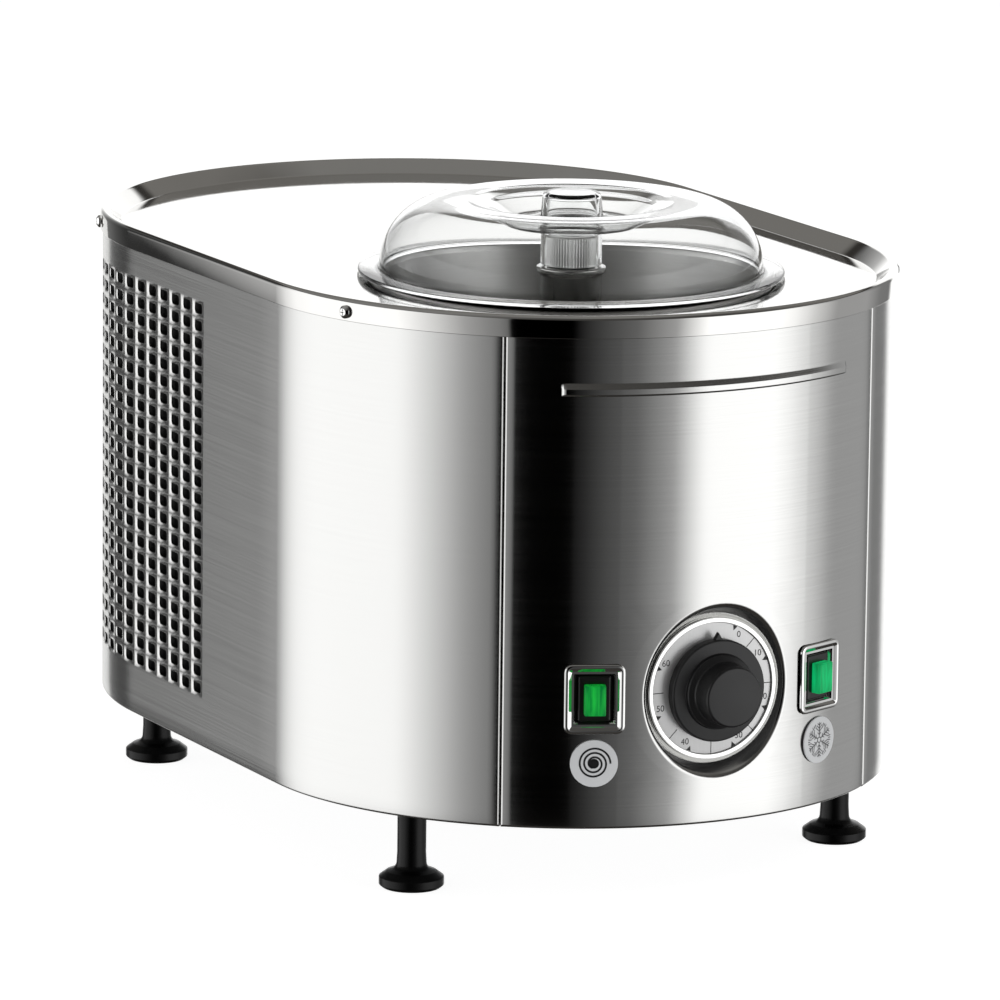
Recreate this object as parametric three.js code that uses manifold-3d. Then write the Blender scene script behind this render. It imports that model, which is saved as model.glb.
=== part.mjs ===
// Countertop batch ice-cream machine with its own compressor: a stadium-shaped sheet-steel case
// on four feet, a churned bowl under a clear lid at the front, and the refrigeration at the rear.
// Millimetres, +Z up, +X to the machine's right as seen from its front, the front faces -Y.
import * as THREE from 'three';
import { mergeVertices } from 'three/addons/utils/BufferGeometryUtils.js';
import Module from 'manifold-3d';

const wasm = await Module();
wasm.setup();

// ---------------------------------------------------------------- driving dimensions
const GAP = 0.3;                   // air kept between neighbouring pieces
const ARC_R = 148;                 // outer radius of the case ends, at the cover's skirt
const ARC_Y = 79.4;                // distance of each end's centre from the middle of the case
const SHEET = 0.8;                 // cover sheet
const WALL = 1.2;                  // body sheet
const BODY_R = ARC_R - SHEET - GAP;
const BODY_BOTTOM = 37.5;
const BODY_TOP = 264;
const SKIRT_BOTTOM = 257.1;
const COVER_TOP = 267;
const PLATE_Z = 260.5;             // top face of the sunken plate
const RIM_WIDTH = 10;              // how far the rim slopes inwards down to the plate
const ROUND = 14;                  // curve segments: twenty-eight facets on each half-round end
const SEAM_ANGLE = 38.57;          // front panel's edges, in degrees either side of the front
const SEAM_GAP = 0.5;
const HEM = 9;                     // depth of the inward returns beside the seam
const FRONT_Y = -(ARC_Y + BODY_R);

const PAN_Z = 38;                  // underside of the base pan
const PAN_FLOOR = 39.5;
const FLOOR_Z = PAN_FLOOR + GAP;   // where inner parts stand

const SCREW_ANGLE = 69.5;
const SCREW_Z = 261.2;
const SCREW_HOLE_R = 1.8;
const SCREW_HEAD_R = 3;
const FOOT_R = 14.65;
const FOOT_STEM_R = 6.5;
const FOOT_X = 108;
const FOOT_Y = { front: -140.1, rear: 134.2 };

const BAR_ANGLE = 28.8;            // half length of the pressed bar, in degrees
const BAR_Z = 234.6;
const BAR_HALF = 2.45;
const BAR_RISE = 1.1;

const DIAL_Z = 97;
const DISH_DEPTH = 8.2;            // pressed dish that gives the timer a flat seat
const DISH_FLOOR_R = 32.6;
const DISH_FLOOR_Y = FRONT_Y + DISH_DEPTH;
const PLATE_T = 0.8;
const PLATE_R = 31.6;
const DIAL_RING_R = 33.2;
const SPINDLE_HOLE_R = 5;          // through the dish, for the timer's spindle
const PLATE_FACE_Y = DISH_FLOOR_Y - GAP - PLATE_T;

const SWITCH_ANGLE = 22.5;
const SWITCH_Z = 96.3;
const BADGE_Z = 67.5;
const BADGE_R = 10.6;

const BOWL_R = 86.3;               // inside radius of the bowl
const BOWL_FLOOR = 163;
const BOWL_FILLET = 12;
const POST_R = 9.5;                // tube that carries the shaft up through the bowl
const POST_TOP = 234;
const POST_WALL = 1.2;
const BOWL_WALL = 1;
const BOWL_RIM_R = 92;             // rim that rests on the cover's plate
const MOUTH_R = 88.6;              // opening in the cover's plate

const LID_R = 96.7;
const LID_Z = 261.6;
const FLANGE_TOP = 263.8;
const DOME_R = 87.1;
const DOME_ARC = 30;
const DOME_Z = 264.4;
const LID_T = 1.8;
const LID_DISH = { edge: 38, edgeZ: 292.2, floor: 27, floorZ: 285 };
const GRIP_R = 14.4;
const GRIP_TOP = 298;
const GUIDE_R = [12.2, 13.9];      // tube that drops around the paddle's nut
const GUIDE_BOTTOM = 265.4;

const HUB_R = 14;
const HUB_BOTTOM = BOWL_FLOOR + 4;
const HUB_TOP = 264.4;
const COLLAR_R = 15.8;
const BLADE_R = 84.6;
const BLADE_T = 5;
const NUT_R = 11.35;
const NUT_Z = [264.7, 279.8];
const NUT_RIDGES = 24;
const NUT_KNURL = 0.5;

const SHAFT_R = 6.9;
const SQUARE = 9.8;                // driving square at the shaft's upper end
const SQUARE_Z = [POST_TOP + 2.4, 262.5];
const THREAD_R = 4.1;
const THREAD_TOP = 278.4;

const GEAR_MODULE = 1.25;
const PINION_TEETH = 12;
const IDLER_TEETH = 36;
const OUTPUT_TEETH = 48;
const IDLER_Y = -ARC_Y + GEAR_MODULE * (PINION_TEETH + OUTPUT_TEETH) / 2;
const MOTOR_Y = IDLER_Y + GEAR_MODULE * (PINION_TEETH + IDLER_TEETH) / 2;
const GEARBOX_Z = [104, 131];
const GEARBOX_WALL = 3;
const BRIDGE_Z = [141, 143];

const COIL_TUBE_R = 3;
const COIL_R = BOWL_R + 3.3 + COIL_TUBE_R;
const COIL_Z = [180, 248];
const COIL_TURNS = 5;
const COIL_START = 80;             // in degrees, at the back of the bowl
const FOAM_R = [96.2, 106];
const FOAM_Z = [143.3, 259.2];
const FOAM_BORE_R = 18;

const COMPRESSOR = { x: 52, y: 122, r: 50, bottom: 54, top: 166 };
const CONDENSER = { x: [-125, -97], y: [34, 146], z: [52, 172], fins: 13 };
const FAN = { y: 90, z: 112, x: -80, r: 46, hubR: 12, pitch: 22, blades: 5 };
const FAN_MOTOR = { r: 24, length: 34, spindleR: 2.3 };
const DRIER = { x: 24, y: 48, z: [92, 158], r: 9, neck: 3.6 };
const PIPE_R = { liquid: 2.2, suction: 3, discharge: 2.6 };

// ---------------------------------------------------------------- materials
const FINISHES = {
  brushed: [0xb9b9b7, 0.35, 1],
  polished: [0xd4d4d2, 0.12, 1],
  galvanised: [0x9a9d9e, 0.5, 0.9],
  dark_steel: [0x6e7072, 0.35, 1],
  black_plastic: [0x151515, 0.5, 0],
  white_plastic: [0xe8e6df, 0.5, 0],
  clear: [0xf2f6f7, 0.05, 0],
  green: [0x12c24a, 0.3, 0],
  label: [0xc9cacb, 0.6, 0],
  foam: [0xe6d9a8, 0.9, 0],
  copper: [0xb87344, 0.35, 1],
  rubber: [0x1d1d1d, 0.85, 0],
  enamel: [0x1b1c1e, 0.4, 0.2],
  aluminium: [0xc3c6c8, 0.45, 0.9],
};

function finish(name) {
  const [color, roughness, metalness] = FINISHES[name];
  const clear = name === 'clear';
  return new THREE.MeshStandardMaterial({
    color, roughness, metalness, transparent: clear, opacity: clear ? 0.3 : 1,
  });
}

// ---------------------------------------------------------------- solid helpers
const radians = (degrees) => degrees * Math.PI / 180;
const degreesOf = (angle) => angle * 180 / Math.PI;

// A closed geometry with shared corners and its faces turned outwards.
function closed(source) {
  let geometry = source.clone();
  geometry.deleteAttribute('normal');
  geometry.deleteAttribute('uv');
  geometry = mergeVertices(geometry, 1e-4);
  const index = Array.from(geometry.index.array);
  const corner = (k) => new THREE.Vector3().fromBufferAttribute(geometry.attributes.position, index[k]);
  const kept = [];
  let volume = 0;
  for (let i = 0; i < index.length; i += 3) {
    const [a, b, c] = [index[i], index[i + 1], index[i + 2]];
    if (a === b || b === c || c === a) continue;
    volume += corner(i).dot(corner(i + 1).cross(corner(i + 2)));
    kept.push(a, b, c);
  }
  if (volume < 0) {
    for (let i = 0; i < kept.length; i += 3) {
      [kept[i], kept[i + 1]] = [kept[i + 1], kept[i]];
    }
  }
  geometry.setIndex(kept);
  return geometry;
}

function solid(source) {
  const geometry = closed(source);
  return new wasm.Manifold(new wasm.Mesh({
    numProp: 3,
    vertProperties: Float32Array.from(geometry.attributes.position.array),
    triVerts: Uint32Array.from(geometry.index.array),
  }));
}

function surface(manifold) {
  const mesh = manifold.getMesh();
  const geometry = new THREE.BufferGeometry();
  geometry.setAttribute('position', new THREE.BufferAttribute(Float32Array.from(mesh.vertProperties), 3));
  geometry.setIndex(Array.from(mesh.triVerts));
  return geometry;
}

// The first geometry, joined with those in plus and cut by those in minus.
function combine(first, plus = [], minus = []) {
  let result = solid(first);
  plus.forEach((piece) => { result = result.add(solid(piece)); });
  minus.forEach((piece) => { result = result.subtract(solid(piece)); });
  return surface(result);
}

function prism(shape, z0, z1, curveSegments = ROUND) {
  const geometry = new THREE.ExtrudeGeometry(shape, { depth: z1 - z0, bevelEnabled: false, curveSegments });
  return geometry.translate(0, 0, z0);
}

function revolve(points, segments = 32) {
  const profile = points.map(([r, z]) => new THREE.Vector2(r, z));
  return new THREE.LatheGeometry([...profile, profile[0].clone()], segments).rotateX(Math.PI / 2);
}

// A solid of revolution whose profile starts and ends on the axis.
function turned(points, segments = 16) {
  return new THREE.LatheGeometry(points.map(([r, z]) => new THREE.Vector2(r, z)), segments)
    .rotateX(Math.PI / 2);
}

function disc(radius, z0, z1, segments = 16) {
  return turned([[0, z0], [radius, z0], [radius, z1], [0, z1]], segments);
}

function ring(inner, outer, z0, z1, segments = 16) {
  return revolve([[inner, z0], [outer, z0], [outer, z1], [inner, z1]], segments);
}

function block([x0, x1], [y0, y1], [z0, z1]) {
  return new THREE.BoxGeometry(x1 - x0, y1 - y0, z1 - z0)
    .translate((x0 + x1) / 2, (y0 + y1) / 2, (z0 + z1) / 2);
}

function tube(points, radius, sides = 8, steps = 40) {
  const path = new THREE.CatmullRomCurve3(points.map((p) => new THREE.Vector3(...p)));
  const section = new THREE.Shape().absarc(0, 0, radius, 0, 2 * Math.PI);
  return new THREE.ExtrudeGeometry(section, { extrudePath: path, steps, curveSegments: sides / 2 });
}

function stadium(radius) {
  return new THREE.Shape()
    .absarc(0, -ARC_Y, radius, Math.PI, 2 * Math.PI)
    .absarc(0, ARC_Y, radius, 0, Math.PI);
}

function roundedRectangle(width, height, corner) {
  const [x, y] = [width / 2 - corner, height / 2 - corner];
  return new THREE.Shape()
    .absarc(x, y, corner, 0, Math.PI / 2)
    .absarc(-x, y, corner, Math.PI / 2, Math.PI)
    .absarc(-x, -y, corner, Math.PI, 1.5 * Math.PI)
    .absarc(x, -y, corner, 1.5 * Math.PI, 2 * Math.PI);
}

// Plan point at a distance from the front end's centre, at an angle from straight ahead.
function frontPoint(radius, degrees) {
  return [radius * Math.sin(radians(degrees)), -ARC_Y - radius * Math.cos(radians(degrees))];
}

// Geometry drawn with +Z outwards and +Y up, stood against the front end at an angle and height.
function facing(geometry, degrees, radius, z) {
  return geometry
    .rotateX(Math.PI / 2)
    .translate(0, -radius, z)
    .rotateZ(radians(degrees))
    .translate(0, -ARC_Y, 0);
}

const machine = new THREE.Group();

function add(name, geometry, material, [x, y, z] = [0, 0, 0]) {
  const mesh = new THREE.Mesh(closed(geometry), finish(material));
  mesh.name = name;
  mesh.position.set(x, y, z);
  machine.add(mesh);
  return mesh;
}

// ---------------------------------------------------------------- case
const INLET = { z: 64, width: 28, height: 22, flange: [40, 29, 2.5] };

function screwHole(degrees, y) {
  const hole = new THREE.CylinderGeometry(SCREW_HOLE_R, SCREW_HOLE_R, 12, 12)
    .translate(0, -ARC_R, 0)
    .rotateZ(radians(degrees));
  return hole.translate(0, y, SCREW_Z);
}

const SCREW_PLACES = [
  ['cover_screw_front_left', -SCREW_ANGLE, -ARC_Y],
  ['cover_screw_front_right', SCREW_ANGLE, -ARC_Y],
  ['cover_screw_rear_right', 180 - SCREW_ANGLE, ARC_Y],
  ['cover_screw_rear_left', 180 + SCREW_ANGLE, ARC_Y],
];

// The seam's inward returns stop short of the cover's sunken plate.
function returnTrim() {
  return prism(stadium(BODY_R - WALL - GAP), PLATE_Z - 2, 2 * BODY_TOP);
}

function bodyShell() {
  const edge = SEAM_ANGLE + degreesOf(SEAM_GAP / BODY_R);
  const start = radians(edge) - Math.PI / 2;
  const inner = BODY_R - WALL;
  const wall = new THREE.Shape()
    .moveTo(...frontPoint(BODY_R - HEM, edge))
    .lineTo(...frontPoint(BODY_R, edge))
    .absarc(0, -ARC_Y, BODY_R, start, 0)
    .absarc(0, ARC_Y, BODY_R, 0, Math.PI)
    .absarc(0, -ARC_Y, BODY_R, Math.PI, -Math.PI - start)
    .lineTo(...frontPoint(BODY_R - HEM, -edge));
  const turn = degreesOf(WALL / inner);
  wall.lineTo(...frontPoint(BODY_R - HEM, -edge - turn));
  wall.absarc(0, -ARC_Y, inner, -Math.PI - start - radians(turn), -Math.PI, true);
  wall.absarc(0, ARC_Y, inner, Math.PI, 0, true);
  wall.absarc(0, -ARC_Y, inner, 0, start + radians(turn), true);
  wall.lineTo(...frontPoint(BODY_R - HEM, edge + turn));
  const inletHole = block([-INLET.width / 2 - 1, INLET.width / 2 + 1], [ARC_R, ARC_R + ARC_Y + 9],
    [INLET.z - INLET.height / 2 - 1, INLET.z + INLET.height / 2 + 1]);
  const holes = SCREW_PLACES.map(([, degrees, y]) => screwHole(degrees, y));
  return combine(prism(wall, BODY_BOTTOM, BODY_TOP), [], [inletHole, returnTrim(), ...holes]);
}

// A sector of the front wall between two radii, up to an angle either side of straight ahead.
function frontSector(inner, outer, degrees) {
  const from = radians(-degrees) - Math.PI / 2;
  const to = radians(degrees) - Math.PI / 2;
  return new THREE.Shape()
    .absarc(0, -ARC_Y, outer, from, to)
    .absarc(0, -ARC_Y, inner, to, from, true);
}

// Cone that narrows inwards from the front; grow thickens it all round.
function dishCone(grow) {
  const depth = DISH_DEPTH + grow;
  const reach = 4;
  const floor = DISH_FLOOR_R + grow;
  const cone = new THREE.CylinderGeometry(floor, floor + depth + reach, depth + reach, 32);
  return cone.translate(0, FRONT_Y + depth - (depth + reach) / 2, DIAL_Z);
}

const SWITCH_BODY = [18.4, 23.4];

function frontPanel() {
  const hem = degreesOf(WALL / BODY_R);
  const ahead = prism(frontSector(0.5 * BODY_R, BODY_R, SEAM_ANGLE), BODY_BOTTOM, BODY_TOP);
  const hollow = prism(frontSector(0.4 * BODY_R, BODY_R - WALL, SEAM_ANGLE - hem), 0, 2 * BODY_TOP);
  const behind = prism(frontSector(0.3 * BODY_R, BODY_R - HEM, 2 * SEAM_ANGLE), 0, 2 * BODY_TOP);
  const sheet = solid(ahead).subtract(solid(hollow)).subtract(solid(behind));
  const dish = solid(dishCone(WALL)).intersect(solid(ahead));
  const barShape = frontSector(BODY_R - 0.5 * WALL, BODY_R + BAR_RISE, BAR_ANGLE);
  const bar = solid(prism(barShape, BAR_Z - BAR_HALF, BAR_Z + BAR_HALF));
  let panel = sheet.add(dish).add(bar).subtract(solid(dishCone(0))).subtract(solid(returnTrim()));
  const shaftHole = disc(SPINDLE_HOLE_R, -30, 30, 16).rotateX(Math.PI / 2).translate(0, DISH_FLOOR_Y, DIAL_Z);
  panel = panel.subtract(solid(shaftHole));
  [-SWITCH_ANGLE, SWITCH_ANGLE].forEach((degrees) => {
    const [w, h] = SWITCH_BODY.map((size) => size + 1);
    const cut = block([-w / 2, w / 2], [-h / 2, h / 2], [-6, 6]);
    panel = panel.subtract(solid(facing(cut, degrees, BODY_R, SWITCH_Z)));
  });
  return surface(panel);
}

function topCover() {
  const inside = ARC_R - SHEET;
  const slopeDrop = COVER_TOP - PLATE_Z;
  const recess = sunkenWedge(ARC_R - RIM_WIDTH, PLATE_Z, slopeDrop);
  const recessSkin = sunkenWedge(ARC_R - RIM_WIDTH + 0.5 * SHEET, PLATE_Z - SHEET, slopeDrop + SHEET);
  const outer = solid(prism(stadium(ARC_R), SKIRT_BOTTOM, COVER_TOP));
  const under = solid(prism(stadium(inside), 0, COVER_TOP - SHEET)).subtract(solid(recessSkin));
  const mouth = disc(MOUTH_R, 0, 2 * PLATE_Z, 48).translate(0, -ARC_Y, 0);
  let cover = outer.subtract(under).subtract(solid(recess)).subtract(solid(mouth));
  SCREW_PLACES.forEach(([, degrees, y]) => { cover = cover.subtract(solid(screwHole(degrees, y))); });
  return surface(cover);
}

// A stadium block whose lowest face is at floor and whose sides slope outwards as they rise.
function sunkenWedge(radius, floor, rise) {
  const over = 4;
  const spread = (RIM_WIDTH - SHEET) * (rise + over) / (COVER_TOP - PLATE_Z);
  const shape = new THREE.ExtrudeGeometry(stadium(radius), {
    depth: 1,
    bevelEnabled: true,
    bevelThickness: rise + over,
    bevelSize: spread,
    bevelSegments: 1,
    curveSegments: ROUND,
  });
  // The lower bevel widens from the floor up; the rest is cut away above the waist.
  const whole = solid(shape.translate(0, 0, floor + rise + over));
  const waist = solid(prism(stadium(radius + spread + 1), floor, floor + rise + over));
  return surface(whole.intersect(waist));
}

function buildCase() {
  add('body_shell', bodyShell(), 'brushed');
  add('front_panel', frontPanel(), 'brushed');
  add('top_cover', topCover(), 'polished');
  const panR = BODY_R - WALL - GAP;
  const notches = [-SEAM_ANGLE, SEAM_ANGLE].map((degrees) => block([-3, 3], [-2 * HEM, HEM], [0, 60])
    .translate(0, HEM - panR, 0).rotateZ(radians(degrees)).translate(0, -ARC_Y, 0));
  const pan = combine(prism(stadium(panR), PAN_Z, 50), [],
    [prism(stadium(panR - WALL), PAN_FLOOR, 60), ...notches]);
  add('base_pan', pan, 'galvanised');
  SCREW_PLACES.forEach(([name, degrees, y]) => {
    const screw = coverScrew().rotateX(Math.PI / 2).translate(0, -ARC_R - GAP, 0).rotateZ(radians(degrees));
    add(name, screw, 'polished', [0, y, SCREW_Z]);
  });
  const sides = { left: -FOOT_X, right: FOOT_X };
  for (const [end, y] of Object.entries(FOOT_Y)) {
    for (const [side, x] of Object.entries(sides)) {
      add(`foot_${end}_${side}`, foot(), 'black_plastic', [x, y, 0]);
    }
  }
}

// Dome head with a cross recess; the shank runs inwards from the head's flat underside at 0.
function coverScrew() {
  const r = SCREW_HEAD_R;
  const head = turned([[0, -1.5 * r], [SCREW_HOLE_R - 0.4, -1.5 * r], [SCREW_HOLE_R - 0.4, 0], [r, 0],
    [0.93 * r, 0.3 * r], [0.63 * r, 0.6 * r], [0, 0.7 * r]], 12);
  const slot = [[-0.53 * r, 0.53 * r], [-0.1 * r, 0.1 * r]];
  const depth = [0.3 * r, r];
  return combine(head, [], [block(slot[0], slot[1], depth), block(slot[1], slot[0], depth)]);
}

function foot() {
  const top = PAN_Z - GAP;
  const edge = 0.7;
  const rim = 4.9;
  return turned([[0, 0], [FOOT_R - edge, 0], [FOOT_R, edge], [FOOT_R, rim], [FOOT_R - edge, rim + edge],
    [FOOT_STEM_R, 11], [FOOT_STEM_R, top], [0, top]], 16);
}

// ---------------------------------------------------------------- bowl, paddle and lid
function filletPoints(radius, floor, size, reversed) {
  const points = [];
  for (let i = 0; i <= 3; i += 1) {
    const angle = i * Math.PI / 6;
    points.push([radius - size + size * Math.cos(angle), floor + size - size * Math.sin(angle)]);
  }
  return reversed ? points.reverse() : points;
}

function bowl() {
  const out = BOWL_R + BOWL_WALL;
  const under = BOWL_FLOOR - BOWL_WALL;
  const rim = [PLATE_Z + GAP, PLATE_Z + 0.8];
  const bore = POST_R - POST_WALL;
  return revolve([
    [BOWL_RIM_R, rim[0]], [BOWL_RIM_R, rim[1]], [MOUTH_R, rim[1]], [BOWL_R + 0.7, PLATE_Z - 0.4],
    [BOWL_R, PLATE_Z - 2.5], ...filletPoints(BOWL_R, BOWL_FLOOR, BOWL_FILLET, false),
    [POST_R + 2, BOWL_FLOOR], [POST_R, BOWL_FLOOR + 2], [POST_R, POST_TOP], [bore, POST_TOP], [bore, under],
    ...filletPoints(out, under, BOWL_FILLET + BOWL_WALL, true),
    [out, PLATE_Z - 0.9], [MOUTH_R - 0.4, rim[0]],
  ], 24);
}

// Each blade sweeps the bowl's floor and turns up its wall.
function bladeOutline() {
  const [root, foot, shoulder] = [HUB_R - 1.5, HUB_BOTTOM - 1, HUB_BOTTOM + 19];
  const [inner, tip] = [BLADE_R - 14.6, POST_TOP];
  return new THREE.Shape()
    .moveTo(root, foot + 2)
    .lineTo(BLADE_R - 12.6, foot)
    .quadraticCurveTo(BLADE_R - 2.6, foot + 2, BLADE_R, foot + 12)
    .lineTo(BLADE_R, tip - 2)
    .quadraticCurveTo(BLADE_R - 4.6, tip + 6, BLADE_R - 10.6, tip)
    .lineTo(inner, foot + 26)
    .quadraticCurveTo(inner - 4, foot + 17, inner - 14, foot + 16)
    .lineTo(root, shoulder);
}

function paddle() {
  const bore = POST_R + 1;
  const throat = POST_TOP + 3;
  const neck = 4;
  const chamfer = 0.9;
  const hub = revolve([
    [bore, HUB_BOTTOM], [HUB_R, HUB_BOTTOM], [HUB_R, HUB_TOP - 3.8], [COLLAR_R, HUB_TOP - 2],
    [COLLAR_R, HUB_TOP - chamfer], [COLLAR_R - chamfer, HUB_TOP], [neck, HUB_TOP], [neck, throat],
    [bore, throat],
  ], 28);
  const blades = [0, 180].map((degrees) => {
    const depth = BLADE_T;
    const blade = new THREE.ExtrudeGeometry(bladeOutline(), { depth, bevelEnabled: false, curveSegments: 4 });
    return blade.rotateX(Math.PI / 2).translate(0, depth / 2, 0).rotateZ(radians(degrees));
  });
  const keyway = SQUARE / 2 + GAP;
  const square = block([-keyway, keyway], [-keyway, keyway], [POST_TOP, HUB_TOP + 1]);
  return combine(hub, blades, [square]);
}

function paddleNut() {
  const grip = new THREE.Shape();
  for (let i = 0; i < 2 * NUT_RIDGES; i += 1) {
    const r = i % 2 ? NUT_R : NUT_R - NUT_KNURL;
    const angle = i * Math.PI / NUT_RIDGES;
    grip[i ? 'lineTo' : 'moveTo'](r * Math.cos(angle), r * Math.sin(angle));
  }
  grip.closePath();
  grip.holes.push(new THREE.Path().absarc(0, 0, THREAD_R + GAP, 0, 2 * Math.PI));
  return prism(grip, ...NUT_Z, 6);
}

function driveShaft() {
  const half = SQUARE / 2;
  const journal = disc(SHAFT_R, GEARBOX_Z[0] + GEARBOX_WALL + GAP, SQUARE_Z[0]);
  const square = block([-half, half], [-half, half], [SQUARE_Z[0] - 1, SQUARE_Z[1]]);
  const thread = disc(THREAD_R, SQUARE_Z[1] - 1, THREAD_TOP, 16);
  return combine(journal, [square, thread]);
}

// Lathed in one piece: flange, domed shoulder, dished centre, hollow grip and the guide tube
// that drops around the paddle's nut.
function lid() {
  const steps = 4;
  const shoulder = (radius) => {
    const points = [];
    for (let i = 0; i <= steps; i += 1) {
      const angle = i * Math.PI / 2 / steps;
      const rise = radius * Math.sin(angle);
      points.push([DOME_R - DOME_ARC + radius * Math.cos(angle), DOME_Z + rise]);
    }
    return points;
  };
  const { edge, edgeZ, floor, floorZ } = LID_DISH;
  const crest = [edge + 8, DOME_Z + DOME_ARC - 0.5];
  const [guideIn, guideOut] = GUIDE_R;
  const under = floorZ - LID_T;
  const inside = GRIP_TOP - LID_T;
  const chamfer = 0.8;
  return revolve([
    [LID_R, LID_Z], [LID_R, FLANGE_TOP - chamfer], [LID_R - chamfer, FLANGE_TOP], [DOME_R + 0.6, FLANGE_TOP],
    ...shoulder(DOME_ARC),
    crest, [edge, edgeZ], [floor, floorZ], [GRIP_R, floorZ - 0.8],
    [GRIP_R - 1.2, GRIP_TOP - 1.2], [GRIP_R - 2, GRIP_TOP], [0.01, GRIP_TOP],
    [0.01, inside], [GRIP_R - 3.6, inside], [guideIn, NUT_Z[1] + 0.8], [guideIn, GUIDE_BOTTOM],
    [guideOut, GUIDE_BOTTOM], [guideOut, under - 0.8], [floor + 0.6, under],
    [edge + 0.6, edgeZ - LID_T], [crest[0], crest[1] - LID_T],
    ...shoulder(DOME_ARC - LID_T).reverse(),
    [DOME_R - LID_T, LID_Z],
  ], 24);
}

function evaporatorCoil() {
  const points = [];
  const start = radians(COIL_START);
  const sweep = 2 * Math.PI * COIL_TURNS + radians(20);
  const steps = 14 * COIL_TURNS;
  for (let i = 0; i <= steps; i += 1) {
    const t = i / steps;
    const angle = start + sweep * t;
    points.push([COIL_R * Math.cos(angle), COIL_R * Math.sin(angle), COIL_Z[0] + t * (COIL_Z[1] - COIL_Z[0])]);
  }
  return tube(points, COIL_TUBE_R, 4, steps);
}

function insulation() {
  const cup = revolve([
    [FOAM_BORE_R, FOAM_Z[0]], [FOAM_R[1], FOAM_Z[0]], [FOAM_R[1], FOAM_Z[1]], [FOAM_R[0], FOAM_Z[1]],
    [FOAM_R[0], BOWL_FLOOR - 2], [FOAM_BORE_R, BOWL_FLOOR - 2],
  ], 28);
  // Left open at the back, where the coil's two ends come out.
  const notch = block([-32, 32], [70, 120], [COIL_Z[0] - 8, FOAM_Z[1] + 5]);
  return combine(cup, [], [notch]);
}

function buildBowl() {
  const axis = [0, -ARC_Y, 0];
  add('bowl', bowl(), 'dark_steel', axis);
  add('bowl_insulation', insulation(), 'foam', axis);
  add('evaporator_coil', evaporatorCoil(), 'copper', axis);
  add('paddle', paddle(), 'dark_steel', axis);
  add('paddle_nut', paddleNut(), 'dark_steel', axis);
  add('drive_shaft', driveShaft(), 'dark_steel', axis);
  add('shaft_seal', ring(SHAFT_R + 0.2, POST_R - 1.4, POST_TOP - 9, POST_TOP - 1), 'rubber', axis);
  add('lid', lid(), 'clear', axis);
}

// ---------------------------------------------------------------- gear motor
const PRESSURE_ANGLE = radians(20);
const ADDENDUM = 0.8;
const DEDENDUM = 1.15;
const BACKLASH = 0.2;              // taken off each tooth's thickness

function gearShape(teeth, bore, turnDegrees = 0) {
  const pitch = teeth * GEAR_MODULE / 2;
  const base = pitch * Math.cos(PRESSURE_ANGLE);
  const involute = (r) => {
    const angle = Math.acos(Math.min(1, base / r));
    return Math.tan(angle) - angle;
  };
  const halfTooth = (r) => Math.PI / (2 * teeth) - BACKLASH / (2 * pitch) + involute(pitch)
    - involute(Math.max(r, base));
  const radii = [pitch - DEDENDUM * GEAR_MODULE, pitch + ADDENDUM * GEAR_MODULE];
  const shape = new THREE.Shape();
  for (let tooth = 0; tooth < teeth; tooth += 1) {
    const centre = radians(turnDegrees) + 2 * Math.PI * tooth / teeth;
    const flank = radii.map((r) => [r, centre - halfTooth(r)]);
    const back = radii.map((r) => [r, centre + halfTooth(r)]).reverse();
    [...flank, ...back].forEach(([r, angle], i) => {
      const first = tooth === 0 && i === 0;
      shape[first ? 'moveTo' : 'lineTo'](r * Math.cos(angle), r * Math.sin(angle));
    });
  }
  shape.closePath();
  if (bore) shape.holes.push(new THREE.Path().absarc(0, 0, bore, 0, 2 * Math.PI));
  return shape;
}

const IDLER_PIN_R = 2;
const HALF_PITCH = 180 / PINION_TEETH;
const LOW_GEAR_Z = [108.5, 114.5];
const HIGH_GEAR_Z = [118, 128];

function idlerGear() {
  const large = prism(gearShape(IDLER_TEETH, 0), ...LOW_GEAR_Z, 6);
  const small = prism(gearShape(PINION_TEETH, 0, HALF_PITCH), LOW_GEAR_Z[1] - 1, HIGH_GEAR_Z[1], 6);
  return combine(large, [small], [disc(IDLER_PIN_R + GAP, 0, 200, 12)]);
}

const MOTOR_R = 33;
const MOTOR_WALL = 4;
const MOTOR_Z = [44, 103.7];
const ROTOR_Z = [58, 90];
const SPINDLE_R = 3.5;
const SPINDLE_BORE_R = 4.5;

function motorRotor() {
  const core = disc(22, ...ROTOR_Z);
  const spindle = disc(SPINDLE_R, MOTOR_Z[0] + MOTOR_WALL + 2, LOW_GEAR_Z[0] + 1, 16);
  const pinion = prism(gearShape(PINION_TEETH, 0, HALF_PITCH), ...LOW_GEAR_Z, 6);
  return combine(core, [spindle, pinion]);
}

function motorHousing() {
  const [bottom, top] = MOTOR_Z;
  const edge = 2;
  const inside = MOTOR_R - 7;
  return revolve([
    [SPINDLE_BORE_R, bottom], [MOTOR_R - edge, bottom], [MOTOR_R, bottom + edge], [MOTOR_R, top - edge],
    [MOTOR_R - edge, top], [SPINDLE_BORE_R, top], [SPINDLE_BORE_R, top - MOTOR_WALL],
    [inside, top - MOTOR_WALL], [inside, bottom + MOTOR_WALL], [SPINDLE_BORE_R, bottom + MOTOR_WALL],
  ], 20);
}

const GEARBOX_SIZE = [78, 136, 12];  // width, length and corner radius
const BEARING_R = 13;
const BRIDGE_X = 100;
const BRIDGE_Y = [-145, -5];
const BRIDGE_SHEET = 2;
const BRIDGE_FOOT = 18;

function gearboxOutline(shrink) {
  const [width, length, corner] = GEARBOX_SIZE;
  return roundedRectangle(width - 2 * shrink, length - 2 * shrink, corner - shrink);
}

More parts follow.
